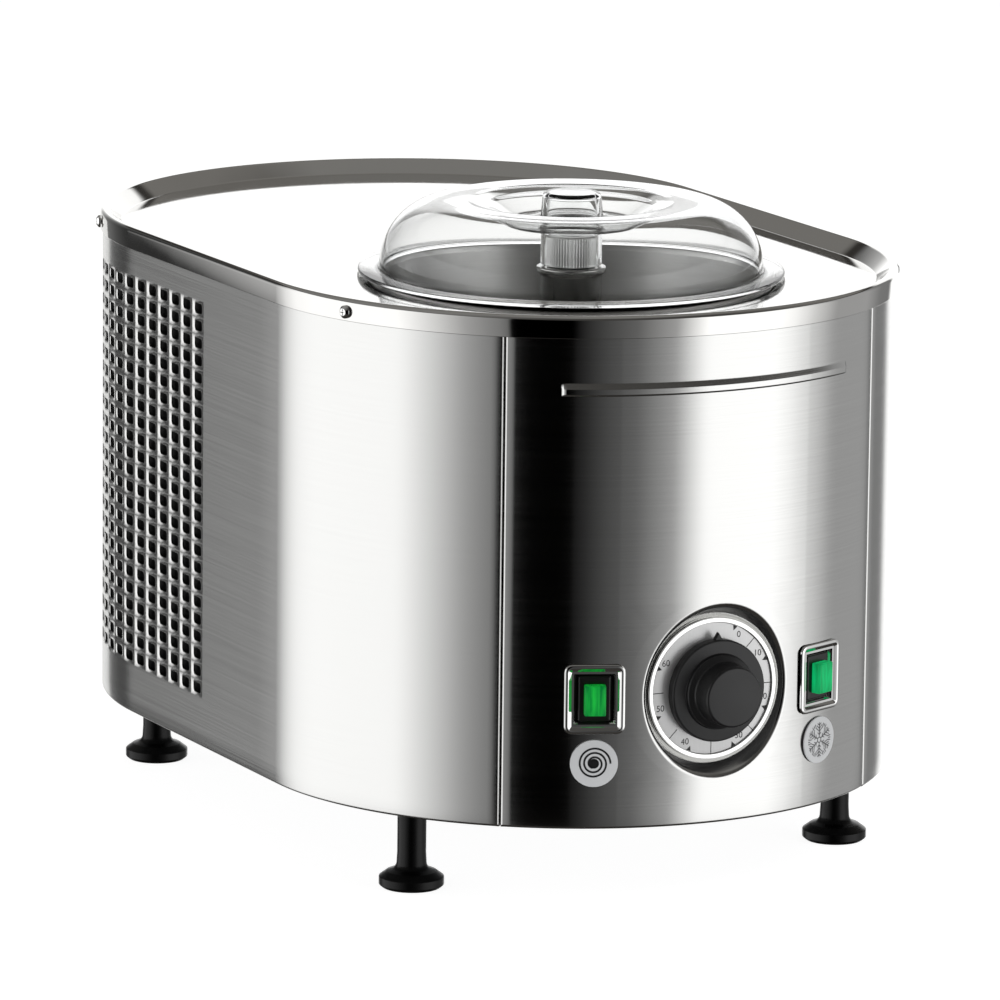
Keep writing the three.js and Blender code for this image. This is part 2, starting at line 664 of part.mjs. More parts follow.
// A deck on two side legs, each with a foot turned inwards along the pan.
function bridgeFrame() {
  const across = (side, ...xs) => xs.map((x) => side * x).sort((a, b) => a - b);
  const legs = [-1, 1].flatMap((side) => [
    block(across(side, BRIDGE_X, BRIDGE_X - BRIDGE_SHEET), BRIDGE_Y, [FLOOR_Z, BRIDGE_Z[1]]),
    block(across(side, BRIDGE_X, BRIDGE_X - BRIDGE_FOOT), BRIDGE_Y, [FLOOR_Z, FLOOR_Z + BRIDGE_SHEET]),
  ]);
  const deck = block([-BRIDGE_X, BRIDGE_X], BRIDGE_Y, BRIDGE_Z);
  return combine(deck, legs, [disc(20, 0, 200).translate(0, -ARC_Y, 0)]);
}

const GEARBOX_Y = -ARC_Y + 28;

function buildGearMotor() {
  const centre = [0, GEARBOX_Y, 0];
  const housing = combine(prism(gearboxOutline(0), ...GEARBOX_Z, 5), [],
    [prism(gearboxOutline(GEARBOX_WALL), GEARBOX_Z[0] + GEARBOX_WALL, 200, 5),
      disc(5, 0, 200, 16).translate(0, MOTOR_Y - GEARBOX_Y, 0)]);
  add('gearbox_housing', housing, 'aluminium', centre);
  const coverTop = GEARBOX_Z[1] + 5;
  const coverPlate = combine(prism(gearboxOutline(0), GEARBOX_Z[1] + GAP, coverTop, 5), [],
    [disc(BEARING_R + GAP, 0, 200).translate(0, -ARC_Y - GEARBOX_Y, 0)]);
  add('gearbox_cover', coverPlate, 'aluminium', centre);
  const outputAxis = [0, -ARC_Y, 0];
  const bearing = ring(SHAFT_R + 0.25, BEARING_R, GEARBOX_Z[1] - 1, coverTop + 1);
  add('shaft_bearing', bearing, 'dark_steel', outputAxis);
  const outputGear = prism(gearShape(OUTPUT_TEETH, SHAFT_R + GAP), ...HIGH_GEAR_Z, 8);
  add('output_gear', outputGear, 'white_plastic', outputAxis);
  add('idler_gear', idlerGear(), 'white_plastic', [0, IDLER_Y, 0]);
  const pinZ = [GEARBOX_Z[0] + GEARBOX_WALL + GAP, GEARBOX_Z[1]];
  add('idler_pin', disc(IDLER_PIN_R, ...pinZ, 12), 'dark_steel', [0, IDLER_Y, 0]);
  add('motor_rotor', motorRotor(), 'dark_steel', [0, MOTOR_Y, 0]);
  add('motor_housing', motorHousing(), 'enamel', [0, MOTOR_Y, 0]);
  add('bridge_frame', bridgeFrame(), 'galvanised');
}

// ---------------------------------------------------------------- refrigeration
// Welded can with its seam flange at mid height, on a base plate and with its terminal box in front.
function compressor() {
  const { r, bottom, top } = COMPRESSOR;
  const seam = [107, 113];
  const can = turned([[0, bottom], [r - 8, bottom], [r - 1, bottom + 6], [r - 1, seam[0] - 1], [r, seam[0]],
    [r, seam[1]], [r - 1, seam[1] + 1], [r - 1, top - 22], [r - 8, top - 9], [r - 22, top - 2], [0, top]], 20);
  const base = prism(roundedRectangle(92, 92, 10), bottom - 3, bottom + 1, 3);
  const terminals = block([-14, 14], [-r - 8, -r + 4], [88, 124]);
  return combine(can, [base, terminals]);
}

const MOUNT_PLACES = [[-38, -38], [38, -38], [0, 38]];

function condenser() {
  const { x, y, z, fins } = CONDENSER;
  const pitch = (y[1] - y[0]) / (2 * fins - 1);
  const comb = new THREE.Shape().moveTo(x[0], y[0]);
  const spine = x[1] - 4;
  comb.lineTo(x[1], y[0]).lineTo(x[1], y[1]).lineTo(x[0], y[1]);
  for (let i = 0; i < fins - 1; i += 1) {
    const near = y[1] - (2 * i + 1) * pitch;
    comb.lineTo(x[0], near).lineTo(spine, near).lineTo(spine, near - pitch).lineTo(x[0], near - pitch);
  }
  comb.closePath();
  return prism(comb, ...z);
}

function fanShroud() {
  const { y, z, r } = FAN;
  const plate = block([CONDENSER.x[1] + 1, CONDENSER.x[1] + 3], CONDENSER.y, [FLOOR_Z, CONDENSER.z[1]]);
  const mouth = new THREE.CylinderGeometry(r + 4, r + 4, 20, 28).rotateZ(Math.PI / 2)
    .translate(CONDENSER.x[1], y, z);
  return combine(plate, [], [mouth]);
}

function fanBlade() {
  const { hubR, r, blades: count } = FAN;
  const hub = disc(hubR, -7, 7, 20);
  const outline = new THREE.Shape()
    .moveTo(hubR - 4, -6)
    .quadraticCurveTo(0.6 * r, -20, r - 4, -14)
    .quadraticCurveTo(r, 0, r - 5, 12)
    .quadraticCurveTo(0.52 * r, 10, hubR - 4, 6);
  const depth = 1.4;
  const blades = [];
  for (let i = 0; i < count; i += 1) {
    const blade = new THREE.ExtrudeGeometry(outline, { depth, bevelEnabled: false, curveSegments: 4 });
    const pitched = blade.translate(0, 0, -depth / 2).rotateX(radians(FAN.pitch));
    blades.push(pitched.rotateZ(i * 2 * Math.PI / count));
  }
  const bore = disc(FAN_MOTOR.spindleR + 0.5, -4, 20, 12);
  return combine(hub, blades, [bore]).rotateY(Math.PI / 2);
}

// Motor behind the fan, its spindle reaching forwards into the hub.
function fanMotor(front) {
  const { r, length, spindleR } = FAN_MOTOR;
  const spindle = disc(spindleR, front - 10, front + 4, 12);
  return combine(disc(r, front, front + length, r), [spindle]).rotateY(Math.PI / 2);
}

function fanBracket(front) {
  const foot = block([front + 6, front + 26], [FAN.y - 22, FAN.y + 22], [FLOOR_Z, FLOOR_Z + 2]);
  const post = block([front + 14, front + 18], [FAN.y - 15, FAN.y + 15], [FLOOR_Z, FAN.z - 12]);
  const saddleR = FAN_MOTOR.r + GAP;
  const saddle = new THREE.CylinderGeometry(saddleR, saddleR, 80, 24)
    .rotateZ(Math.PI / 2)
    .translate(front, FAN.y, FAN.z);
  return combine(foot, [post], [saddle]);
}

function buildPipes() {
  const angle = radians(COIL_START);
  const [coilX, coilY] = [COIL_R * Math.cos(angle), -ARC_Y + COIL_R * Math.sin(angle)];
  const away = 2.5;                // clear of the coil's end
  const [driedBottom, driedTop] = DRIER.z;
  const { x, y, neck, r } = DRIER;
  const drier = turned([[0, driedBottom], [neck, driedBottom + 1], [r, driedBottom + 8], [r, driedTop - 8],
    [neck, driedTop - 1], [0, driedTop]], 16);
  add('filter_drier', drier, 'copper', [x, y, 0]);
  add('liquid_line', tube([[coilX + away, coilY, COIL_Z[0]], [24, 16, COIL_Z[0]], [28, 28, 178],
    [26, 42, 172], [x, y, driedTop + 0.6]], PIPE_R.liquid, 6, 16), 'copper');
  const ports = COMPRESSOR.top + 0.6;
  add('suction_pipe', tube([[-coilX - away, coilY, COIL_Z[1]], [-25, 16, COIL_Z[1]], [-27, 32, 240],
    [-12, 60, 210], [20, 96, 186], [34, 108, ports]], PIPE_R.suction, 6, 20), 'copper');
  const above = CONDENSER.z[1] + 1.5;
  const below = CONDENSER.z[0] - 1.5;
  const middle = (CONDENSER.x[0] + CONDENSER.x[1]) / 2;
  add('discharge_pipe', tube([[60, 122, ports], [58, 124, 178], [30, 130, 188], [-40, 132, 190],
    [-100, 126, 186], [middle, 120, above]], PIPE_R.discharge, 6, 20), 'copper');
  add('condenser_outlet', tube([[middle, 36, below], [-109, 34, 47], [-90, 24, 45], [-30, 34, 46],
    [14, 42, 52], [23, 47, 70], [x, y, driedBottom - 0.4]], PIPE_R.liquid, 6, 20), 'copper');
}

function buildRefrigeration() {
  const { x, y } = COMPRESSOR;
  add('compressor', compressor(), 'enamel', [x, y, 0]);
  MOUNT_PLACES.forEach(([dx, dy], i) => {
    const top = COMPRESSOR.bottom - 3 - GAP;
    const mount = turned([[0, FLOOR_Z], [8, FLOOR_Z], [8, FLOOR_Z + 3], [6, FLOOR_Z + 5], [8, top - 2],
      [8, top], [0, top]], 16);
    add(`compressor_mount_${i + 1}`, mount, 'rubber', [x + dx, y + dy, 0]);
  });
  add('condenser', condenser(), 'aluminium');
  add('fan_shroud', fanShroud(), 'galvanised');
  add('fan_blade', fanBlade(), 'black_plastic', [FAN.x, FAN.y, FAN.z]);
  const motorFront = FAN.x + 9;
  add('fan_motor', fanMotor(motorFront), 'dark_steel', [0, FAN.y, FAN.z]);
  add('fan_bracket', fanBracket(motorFront), 'galvanised');
  buildPipes();
}

// ---------------------------------------------------------------- controls and electrics
const KNOB = { skirtR: 23.7, skirtTop: 6.7, baseR: 16.8, baseTop: 8.4, gripR: 13.7, top: 21.2 };
const POINTER = { tip: 27, root: 22, half: 2.6, z: [4.2, 5.6] };

// Turned about the dial's axis: height is measured outwards from the dial plate's face.
function timerKnob() {
  const { skirtR, skirtTop, baseR, baseTop, gripR, top } = KNOB;
  const spindle = 3;
  const lift = 1;
  const body = turned([[0, -14], [spindle, -14], [spindle, lift], [skirtR - 1.1, lift], [skirtR, lift + 1.4],
    [skirtR, skirtTop - 1.1], [skirtR - 0.8, skirtTop], [baseR, skirtTop + 0.2], [baseR, baseTop],
    [gripR, baseTop + 2.6], [gripR - 0.2, top - 1], [gripR - 0.9, top], [0, top]], 24);
  const pointer = new THREE.Shape()
    .moveTo(-POINTER.half, POINTER.root)
    .lineTo(POINTER.half, POINTER.root)
    .lineTo(0, POINTER.tip);
  return combine(body, [prism(pointer, ...POINTER.z)]).rotateX(Math.PI / 2);
}

function buildTimer() {
  const centre = [0, PLATE_FACE_Y, DIAL_Z];
  add('dial_plate', ring(4.2, PLATE_R, -PLATE_T, 0, 32).rotateX(Math.PI / 2), 'label', centre);
  const ringIn = PLATE_R + GAP;
  const ringOut = DIAL_RING_R;
  const trim = revolve([[ringIn, -PLATE_T], [ringOut - 0.7, -PLATE_T], [ringOut, 0.5], [ringIn, 1.1]], 32);
  add('dial_ring', trim.rotateX(Math.PI / 2), 'polished', centre);
  add('timer_knob', timerKnob(), 'black_plastic', centre);
  const back = DISH_FLOOR_Y + WALL + GAP;
  const socket = disc(3.6, -12, 12, 16).rotateX(Math.PI / 2).translate(0, back, DIAL_Z);
  add('timer_body', combine(block([-24, 24], [back, back + 30], [DIAL_Z - 24, DIAL_Z + 24]), [], [socket]),
    'white_plastic');
}

// Heights below are measured outwards from the front panel.
const BEZEL = [27, 31.4];
const BEZEL_RISE = 1.5;
const WELL_DEPTH = 4;              // the bezel's sleeve reaches this far behind the panel
const BUTTON = [14.6, 20.6];
const BUTTON_FACE = -0.5;
const BUTTON_LENGTH = 9.8;
const LENS = [9.5, 13.6];
const LENS_TOP = 4.8;

function centredBlock([width, height], z) {
  return block([-width / 2, width / 2], [-height / 2, height / 2], z);
}

// A rounded block with all its edges chamfered.
function chamfered([width, height], [z0, z1], chamfer) {
  return new THREE.ExtrudeGeometry(roundedRectangle(width - 2 * chamfer, height - 2 * chamfer, 0.6), {
    depth: z1 - z0 - 2 * chamfer,
    bevelEnabled: true,
    bevelThickness: chamfer,
    bevelSize: chamfer,
    bevelSegments: 1,
    curveSegments: 1,
  }).translate(0, 0, z0 + chamfer);
}

// Raised frame with a sleeve that lines the panel's cut-out.
function bezel() {
  const [w, h] = BEZEL;
  const sleeve = SWITCH_BODY.map((size) => size + 2 * GAP - 0.2);
  const frame = (inset, z0, z1) => prism(roundedRectangle(w - inset, h - inset, 3.4), z0, z1, 2);
  const well = centredBlock(sleeve.map((size) => size - 2), [-WELL_DEPTH - 1, BEZEL_RISE + 1]);
  const lining = centredBlock(sleeve, [-WELL_DEPTH, 1]);
  return combine(frame(0, GAP, BEZEL_RISE - 0.5), [frame(1.2, GAP, BEZEL_RISE), lining], [well]);
}

function buildSwitch(name, side) {
  const place = (geometry) => facing(geometry, side * SWITCH_ANGLE, BODY_R, SWITCH_Z);
  add(`${name}_bezel`, place(bezel()), 'polished');
  const pocket = centredBlock(BUTTON.map((size) => size + 2 * GAP), [BUTTON_FACE - BUTTON_LENGTH - 4, 0]);
  const body = centredBlock(SWITCH_BODY, [-26, -WELL_DEPTH - GAP]);
  add(`${name}_switch`, place(combine(body, [], [pocket])), 'black_plastic');
  const button = chamfered(BUTTON, [BUTTON_FACE - BUTTON_LENGTH, BUTTON_FACE], 0.8);
  add(`${name}_button`, place(button), 'black_plastic');
  add(`${name}_lens`, place(chamfered(LENS, [BUTTON_FACE + GAP, LENS_TOP], 0.5)), 'green');
  const badge = disc(BADGE_R, GAP, GAP + 0.7, 24);
  add(`${name}_badge`, facing(badge, side * SWITCH_ANGLE, BODY_R, BADGE_Z), 'label');
}

function mainsInlet() {
  const rear = ARC_Y + BODY_R;
  const [w, h, t] = INLET.flange;
  const flange = block([-w / 2, w / 2], [rear + GAP, rear + GAP + t], [INLET.z - h / 2, INLET.z + h / 2]);
  const [bw, bh] = [INLET.width / 2, INLET.height / 2];
  const body = block([-bw, bw], [rear - 24, rear + 1], [INLET.z - bh, INLET.z + bh]);
  const socket = block([-bw + 2, bw - 2], [rear - 15, rear + 9], [INLET.z - bh + 2, INLET.z + bh - 2]);
  const pins = [-7, 0, 7].map((x) => block([x - 1, x + 1], [rear - 16, rear - 2], [INLET.z - 2, INLET.z + 2]));
  const shell = surface(solid(flange).add(solid(body)).subtract(solid(socket)));
  return combine(shell, pins);
}

function buildElectrics() {
  add('run_capacitor', turned([[0, FLOOR_Z], [17, FLOOR_Z], [17.5, FLOOR_Z + 1], [17.5, 100], [15, 102],
    [5, 102], [5, 106], [0, 106]], 20), 'white_plastic', [-62, 168, 0]);
  add('terminal_block', combine(block([-4, 40], [180, 199], [FLOOR_Z, 58]),
    [], [block([-2, 38], [184, 195], [50, 70])]), 'white_plastic');
  add('mains_inlet', mainsInlet(), 'black_plastic');
}

buildCase();
buildBowl();
buildGearMotor();
buildRefrigeration();
buildTimer();
buildSwitch('churn', -1);
buildSwitch('chill', 1);
buildElectrics();

// The dial stands out at the front, so the footprint's middle is moved onto the origin.
const footprint = new THREE.Box3().setFromObject(machine).getCenter(new THREE.Vector3());
machine.position.y = -footprint.y;

export default machine;
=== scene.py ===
"""Looks for the countertop ice cream machine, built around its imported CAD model.

Metres, +Z up, the front faces -Y. Main sizes are read from the frame's CAD nodes; the smaller
ones are named here in millimetres. Each visible shell, knob, foot and fitting is a smooth, closed
mesh that stands for its CAD node, and the works inside keep their CAD shapes with finer edges.
"""

import math

import bmesh
import bpy
from mathutils import Matrix, Vector


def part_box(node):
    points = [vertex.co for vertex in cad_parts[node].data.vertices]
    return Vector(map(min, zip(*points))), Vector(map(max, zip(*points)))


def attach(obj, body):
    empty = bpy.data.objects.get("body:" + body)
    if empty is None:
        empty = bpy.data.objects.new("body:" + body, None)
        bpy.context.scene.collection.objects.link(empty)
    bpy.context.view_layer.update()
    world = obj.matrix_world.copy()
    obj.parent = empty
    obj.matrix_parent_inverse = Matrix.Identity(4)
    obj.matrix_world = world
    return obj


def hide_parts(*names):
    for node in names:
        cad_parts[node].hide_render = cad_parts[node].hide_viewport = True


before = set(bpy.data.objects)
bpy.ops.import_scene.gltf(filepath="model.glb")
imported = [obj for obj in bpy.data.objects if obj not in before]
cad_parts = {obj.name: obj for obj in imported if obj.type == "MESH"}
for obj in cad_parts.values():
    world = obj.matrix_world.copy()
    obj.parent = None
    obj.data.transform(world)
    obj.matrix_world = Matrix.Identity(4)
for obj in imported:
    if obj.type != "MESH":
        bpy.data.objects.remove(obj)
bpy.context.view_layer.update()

MM = 0.001
TAU = 2 * math.pi

# ------------------------------------------------------------------ sizes read from the frame
cover_lo, cover_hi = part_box("top_cover")
shell_lo, shell_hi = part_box("body_shell")
panel_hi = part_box("front_panel")[1]
plate_lo, plate_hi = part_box("dial_plate")
knob_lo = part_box("timer_knob")[0]
bowl_lo, bowl_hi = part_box("bowl")
lid_lo, lid_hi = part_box("lid")
nut_lo, nut_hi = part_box("paddle_nut")

COVER_R = (cover_hi.x - cover_lo.x) / 2
BODY_R = (shell_hi.x - shell_lo.x) / 2
MID_Y = (cover_lo.y + cover_hi.y) / 2
ARC_Y = (cover_hi.y - cover_lo.y) / 2 - COVER_R     # each end's centre from the middle
FRONT = Vector((0, MID_Y - ARC_Y))                  # plan centre of the front end
REAR = Vector((0, MID_Y + ARC_Y))
BODY_BOTTOM = shell_lo.z
BODY_TOP = shell_hi.z
SKIRT_BOTTOM = cover_lo.z
COVER_TOP = cover_hi.z
DIAL_Z = (plate_lo.z + plate_hi.z) / 2
PLATE_Y = plate_lo.y                                # face of the dial plate
SEAM = math.asin(panel_hi.x / BODY_R)               # front panel's edges, either side of the front

# ------------------------------------------------------------------ details
SHEET = 0.9 * MM
BEND = 1.3 * MM            # outer radius where the body sheets are folded
HEM = 8 * MM               # depth of the folded edges beside the seam
SEAM_GAP = 0.5 * MM
PLATE_DROP = 6.5 * MM      # sunken plate below the cover's top edge
RIM_WIDTH = 10 * MM
RIM_SLOPE = math.radians(44.5)
RIM_EDGE = 2.4 * MM        # rounding over the rim's top, which just reaches the cover's height

VENT_START = 308.9 * MM    # along the wall from the front centre to the first vents
VENT_PITCH = Vector((12.58, 8.02)) * MM
VENT_BOTTOM = 60.5 * MM
VENT_COUNT = (24, 23)      # columns each side of the rear, and rows
VENT_HALF = Vector((4.55, 2.62)) * MM
VENT_CORNER = 1.6 * MM
VENT_SPLIT = 3             # mesh steps across each vent's cell
PLAIN_VENTS = (2, 3)       # columns and rows left uncut at the mains inlet
VENT_LIP = 0.3 * MM        # small slope pressed round each vent's edge
SHADE_SHEET_INSET = 3.2 * MM       # dark sheet behind the vents, which is painted shade

BAR_Z = 234.4 * MM         # the pressed bar across the front
BAR_HALF = 3.0 * MM
BAR_RISE = 1.4 * MM
BAR_REACH = math.radians(28.8)

DISH_FLOOR_R = 31.8 * MM
DISH_FLOOR_Y = PLATE_Y + 1.1 * MM
DISH_LIP = 1.6 * MM        # how softly the pressing turns at its lip
DISH_SLOPE = 1.2           # rise of the dish's side for each step outwards
DIAL_FACE_R = 29.7 * MM
DIAL_RING_R = 31.9 * MM
DISH_PATCH = 46 * MM       # half side of the square of panel meshed round the dish
PATCH_PARTS = 12           # mesh steps along half a side of that square

SWITCH_ANGLE = math.radians(22.5)
SWITCH_OPENING = (math.radians(18.7), math.radians(26.3))
SWITCH_Z = (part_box("churn_bezel")[0].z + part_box("churn_bezel")[1].z) / 2
BADGE_Z = (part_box("churn_badge")[0].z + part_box("churn_badge")[1].z) / 2


# ------------------------------------------------------------------ mesh helpers
def linked(name, data):
    """An object of the scene that shows a mesh, curve, light or camera."""
    thing = bpy.data.objects.new(name, data)
    bpy.context.scene.collection.objects.link(thing)
    return thing


def filled(verts, faces):
    """A mesh to edit from points and faces, and its points in the same order."""
    bm = bmesh.new()
    points = [bm.verts.new(v) for v in verts]
    for face in faces:
        bm.faces.new([points[i] for i in face])
    return bm, points


def weld(bm):
    bmesh.ops.remove_doubles(bm, verts=bm.verts, dist=1e-6)


def make(name, form, place, material, body="case", stands_for=(), sharp=34):
    """A smooth-shaded piece from a form's (verts, faces), set in place and riding on a CAD body."""
    verts, faces = form
    bm, _ = filled(placed(verts, place), faces)
    weld(bm)
    bmesh.ops.recalc_face_normals(bm, faces=bm.faces)
    return finished(name, bm, material, body, stands_for, sharp)


def finished(name, bm, material, body="case", stands_for=(), sharp=34):
    mesh = bpy.data.meshes.new(name)
    bm.to_mesh(mesh)
    bm.free()
    mesh.materials.append(material)
    mesh.polygons.foreach_set("use_smooth", [True] * len(mesh.polygons))
    mesh.set_sharp_from_angle(angle=math.radians(sharp))
    piece = linked(name, mesh)
    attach(piece, body)
    if stands_for:
        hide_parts(*stands_for)
    return piece


def thickened(verts, faces, thickness):
    """A sheet's outer surface turned into a closed sheet: an inner surface and its edges are added."""
    bm, _ = filled(verts, faces)
    weld(bm)
    bm.normal_update()
    bm.verts.index_update()
    inner = {v: bm.verts.new(v.co - v.normal * thickness) for v in list(bm.verts)}
    borders = [e for e in bm.edges if len(e.link_faces) == 1]
    for face in list(bm.faces):
        bm.faces.new([inner[v] for v in reversed(face.verts)])
    for edge in borders:
        loop = edge.link_loops[0]
        a, b = loop.vert, loop.link_loop_next.vert
        bm.faces.new([b, a, inner[a], inner[b]])
    return bm


def mirrored(verts, faces):
    """Points and faces for both sides of the machine, from those of its right-hand side."""
    count = len(verts)
    both = list(verts) + [(-x, y, z) for x, y, z in verts]
    return both, list(faces) + [tuple(i + count for i in reversed(f)) for f in faces]


def rounded(corners, closed=False, steps=4):
    """An outline through (u, v, radius) corners, each one turned with an arc of its radius."""
    outline = []
    count = len(corners)
    for i, (u, v, radius) in enumerate(corners):
        here = Vector((u, v))
        if radius == 0 or (not closed and i in (0, count - 1)):
            outline.append(here)
            continue
        before = Vector(corners[i - 1][:2]) - here
        after = Vector(corners[(i + 1) % count][:2]) - here
        half = before.angle(after) / 2
        back = min(radius / math.tan(half), 0.49 * before.length, 0.49 * after.length)
        a, b = before.normalized(), after.normalized()
        centre = here + (a + b).normalized() * (back / math.cos(half))
        start, end = here + a * back - centre, here + b * back - centre
        turn = start.angle(end)
        for k in range(steps + 1):
            t = k / steps
            spoke = start * math.sin((1 - t) * turn) + end * math.sin(t * turn)
            outline.append(centre + spoke / math.sin(turn))
    return outline


def loft(loops, closed=False):
    """Faces between matching closed loops of points; open lofts are capped at both ends."""
    width = len(loops[0])
    verts = [p for loop in loops for p in loop]
    faces = []
    for k in range(len(loops) - (0 if closed else 1)):
        base, above = k * width, ((k + 1) % len(loops)) * width
        for i in range(width):
            j = (i + 1) % width
            faces.append((base + i, base + j, above + j, above + i))
    if not closed:
        faces.append(tuple(range(width - 1, -1, -1)))
        faces.append(tuple(range((len(loops) - 1) * width, len(loops) * width)))
    return verts, faces


def lathe(outline, segments=96):
    """A closed outline of (radius, height) turned about the local Z axis."""
    rings = []
    for k in range(segments):
        c, s = math.cos(TAU * k / segments), math.sin(TAU * k / segments)
        rings.append([Vector((r * c, r * s, h)) for r, h in outline])
    verts, faces = loft(rings, closed=True)
    on_axis = {i for i, v in enumerate(verts) if v.x * v.x + v.y * v.y < 1e-14}
    kept = []
    for face in faces:
        touching = [i for i in face if i in on_axis]
        if len(touching) < 2:
            kept.append(face)
        elif len(touching) == 2 and len({round(verts[i].z, 9) for i in touching}) == 1:
            kept.append(tuple(i for i in face if i != touching[0]))
    return verts, kept


def placed(verts, matrix):
    return [matrix @ Vector(v) for v in verts]


def joined(*parts):
    """Several (verts, faces) as one."""
    verts, faces = [], []
    for more_verts, more_faces in parts:
        faces += [tuple(i + len(verts) for i in f) for f in more_faces]
        verts += list(more_verts)
    return verts, faces


def about(x, y, z=0.0):
    return Matrix.Translation((x, y, z))


def facing(angle, radius, z):
    """Local +Z outwards and +Y up, on the front end at an angle from straight ahead."""
    c, s = math.cos(angle), math.sin(angle)
    place = Vector((FRONT.x + radius * s, FRONT.y - radius * c, z))
    turned = Matrix(((c, 0, s), (s, 0, -c), (0, 1, 0))).to_4x4()
    return Matrix.Translation(place) @ turned


def rounded_rectangle(half_width, half_height, corner, steps=4):
    points = []
    for turn, (sx, sy) in enumerate(((1, 1), (-1, 1), (-1, -1), (1, -1))):
        for k in range(steps + 1):
            angle = math.pi / 2 * (turn + k / steps)
            points.append((sx * (half_width - corner) + corner * math.cos(angle),
                           sy * (half_height - corner) + corner * math.sin(angle)))
    return points


def rectangular(half_width, half_height, corner, profile, closed=False):
    """Rounded rectangles stacked along a profile of (inset, height)."""
    loops = []
    for inset, height in profile:
        radius = max(corner - inset, 0.15 * MM)
        outline = rounded_rectangle(half_width - inset, half_height - inset, radius)
        loops.append([Vector((x, y, height)) for x, y in outline])
    return loft(loops, closed)


def ribbon(points, width, low, high):
    """A flat strip of even width along plan points, with a little thickness."""
    loops = []
    for i, p in enumerate(points):
        before, after = points[max(i - 1, 0)], points[min(i + 1, len(points) - 1)]
        along = (Vector(after) - Vector(before)).normalized()
        side = Vector((-along.y, along.x)) * width / 2
        left, right = Vector(p) + side, Vector(p) - side
        loops.append([Vector((*side_point, z)) for side_point, z in
                      ((left, low), (right, low), (right, high), (left, high))])
    return loft(loops)


def slab(outline, low, high):
    """A flat outline given a thickness."""
    return loft([[Vector((x, y, z)) for x, y in outline] for z in (low, high)])


# ------------------------------------------------------------------ material helpers
def principled(name, colour, roughness, metallic=0.0, **sockets):
    material = bpy.data.materials.new(name)
    material.use_nodes = True
    shader = material.node_tree.nodes["Principled BSDF"]
    shader.inputs["Base Color"].default_value = (*colour, 1)
    shader.inputs["Roughness"].default_value = roughness
    shader.inputs["Metallic"].default_value = metallic
    for socket, value in sockets.items():
        shader.inputs[socket.replace("_", " ")].default_value = value
    return material


def add_node(material, kind, links=None, **settings):
    """A new node: links feed its input sockets, settings set its own values."""
    node = material.node_tree.nodes.new(kind)
    for key, value in settings.items():
        setattr(node, key, value)
    for socket, source in (links or {}).items():
        if isinstance(source, bpy.types.NodeSocket):
            material.node_tree.links.new(source, node.inputs[socket])
        else:
            node.inputs[socket].default_value = source
    return node


def place_scaled(material, scale):
    coordinates = add_node(material, "ShaderNodeTexCoord").outputs["Object"]
    links = {"Vector": coordinates, "Scale": scale}
    return add_node(material, "ShaderNodeMapping", links).outputs["Vector"]


def noise(material, scale, detail=3.0, roughness=0.55):
    """Noise in object space, with its own scale along each axis, per metre."""
    links = {"Vector": place_scaled(material, scale), "Scale": 1.0, "Detail": detail,
             "Roughness": roughness}
    return add_node(material, "ShaderNodeTexNoise", links).outputs[0]


def between(material, value, low, high, start=0.3, end=0.7):
    links = {"Value": value, "From Min": start, "From Max": end, "To Min": low, "To Max": high}
    return add_node(material, "ShaderNodeMapRange", links).outputs[0]


def shader_of(material):
    return material.node_tree.nodes["Principled BSDF"]


def feed(material, socket, source):
    material.node_tree.links.new(source, shader_of(material).inputs[socket])


def vary_roughness(material, value, low, high):
    feed(material, "Roughness", between(material, value, low, high))


def vary_colour(material, value, first, second, start=0.3, end=0.7, socket="Base Color"):
    ramp = add_node(material, "ShaderNodeValToRGB", {"Fac": value})
    for element, position, colour in zip(ramp.color_ramp.elements, (start, end), (first, second)):
        element.position = position
        element.color = (*colour, 1)
    feed(material, socket, ramp.outputs["Color"])


def emboss(material, value, depth, strength=1.0):
    """Surface relief of a depth in metres."""
    bump = add_node(material, "ShaderNodeBump", {"Height": value, "Distance": depth, "Strength": strength})
    feed(material, "Normal", bump.outputs["Normal"])


def grey(level):
    return (level, level, level)


def steel(name, tint, lines, low, high, depth, anisotropic=0.0, colour_swing=0.04):
    """Sheet steel with grinding lines; lines is the grain's scale along each axis."""
    material = principled(name, tint, (low + high) / 2, 1.0, Anisotropic=anisotropic)
    grain = noise(material, lines, detail=4.0, roughness=0.7)
    vary_roughness(material, grain, low, high)
    darker = tuple(c * (1 - colour_swing) for c in tint)
    lighter = tuple(min(1.0, c * (1 + colour_swing)) for c in tint)
    vary_colour(material, grain, darker, lighter)
    emboss(material, grain, depth, 0.35)
    if anisotropic:
        shader_of(material).inputs["Anisotropic Rotation"].default_value = 0.25
        tangent = add_node(material, "ShaderNodeTangent", direction_type="RADIAL", axis="Z")
        feed(material, "Tangent", tangent.outputs["Tangent"])
    return material


def plastic(name, colour, low, high, grain_size, depth, swing=0.25, specular=0.5):
    """Moulded plastic with a fine spark-eroded grain."""
    material = principled(name, colour, (low + high) / 2, Specular_IOR_Level=specular)
    scale = 1 / (grain_size * MM)
    grain = noise(material, (scale, scale, scale), detail=2.0)
    patches = noise(material, (45, 45, 45), detail=3.0)
    vary_roughness(material, patches, low, high)
    darker, lighter = (tuple(c * (1 + turn * swing) for c in colour) for turn in (-1, 1))
    vary_colour(material, patches, darker, lighter)
    emboss(material, grain, depth, 0.5)
    return material


# ------------------------------------------------------------------ materials
WALL_GRAIN = (9, 9, 1900)
LATHED_GRAIN = (20, 20, 1400)

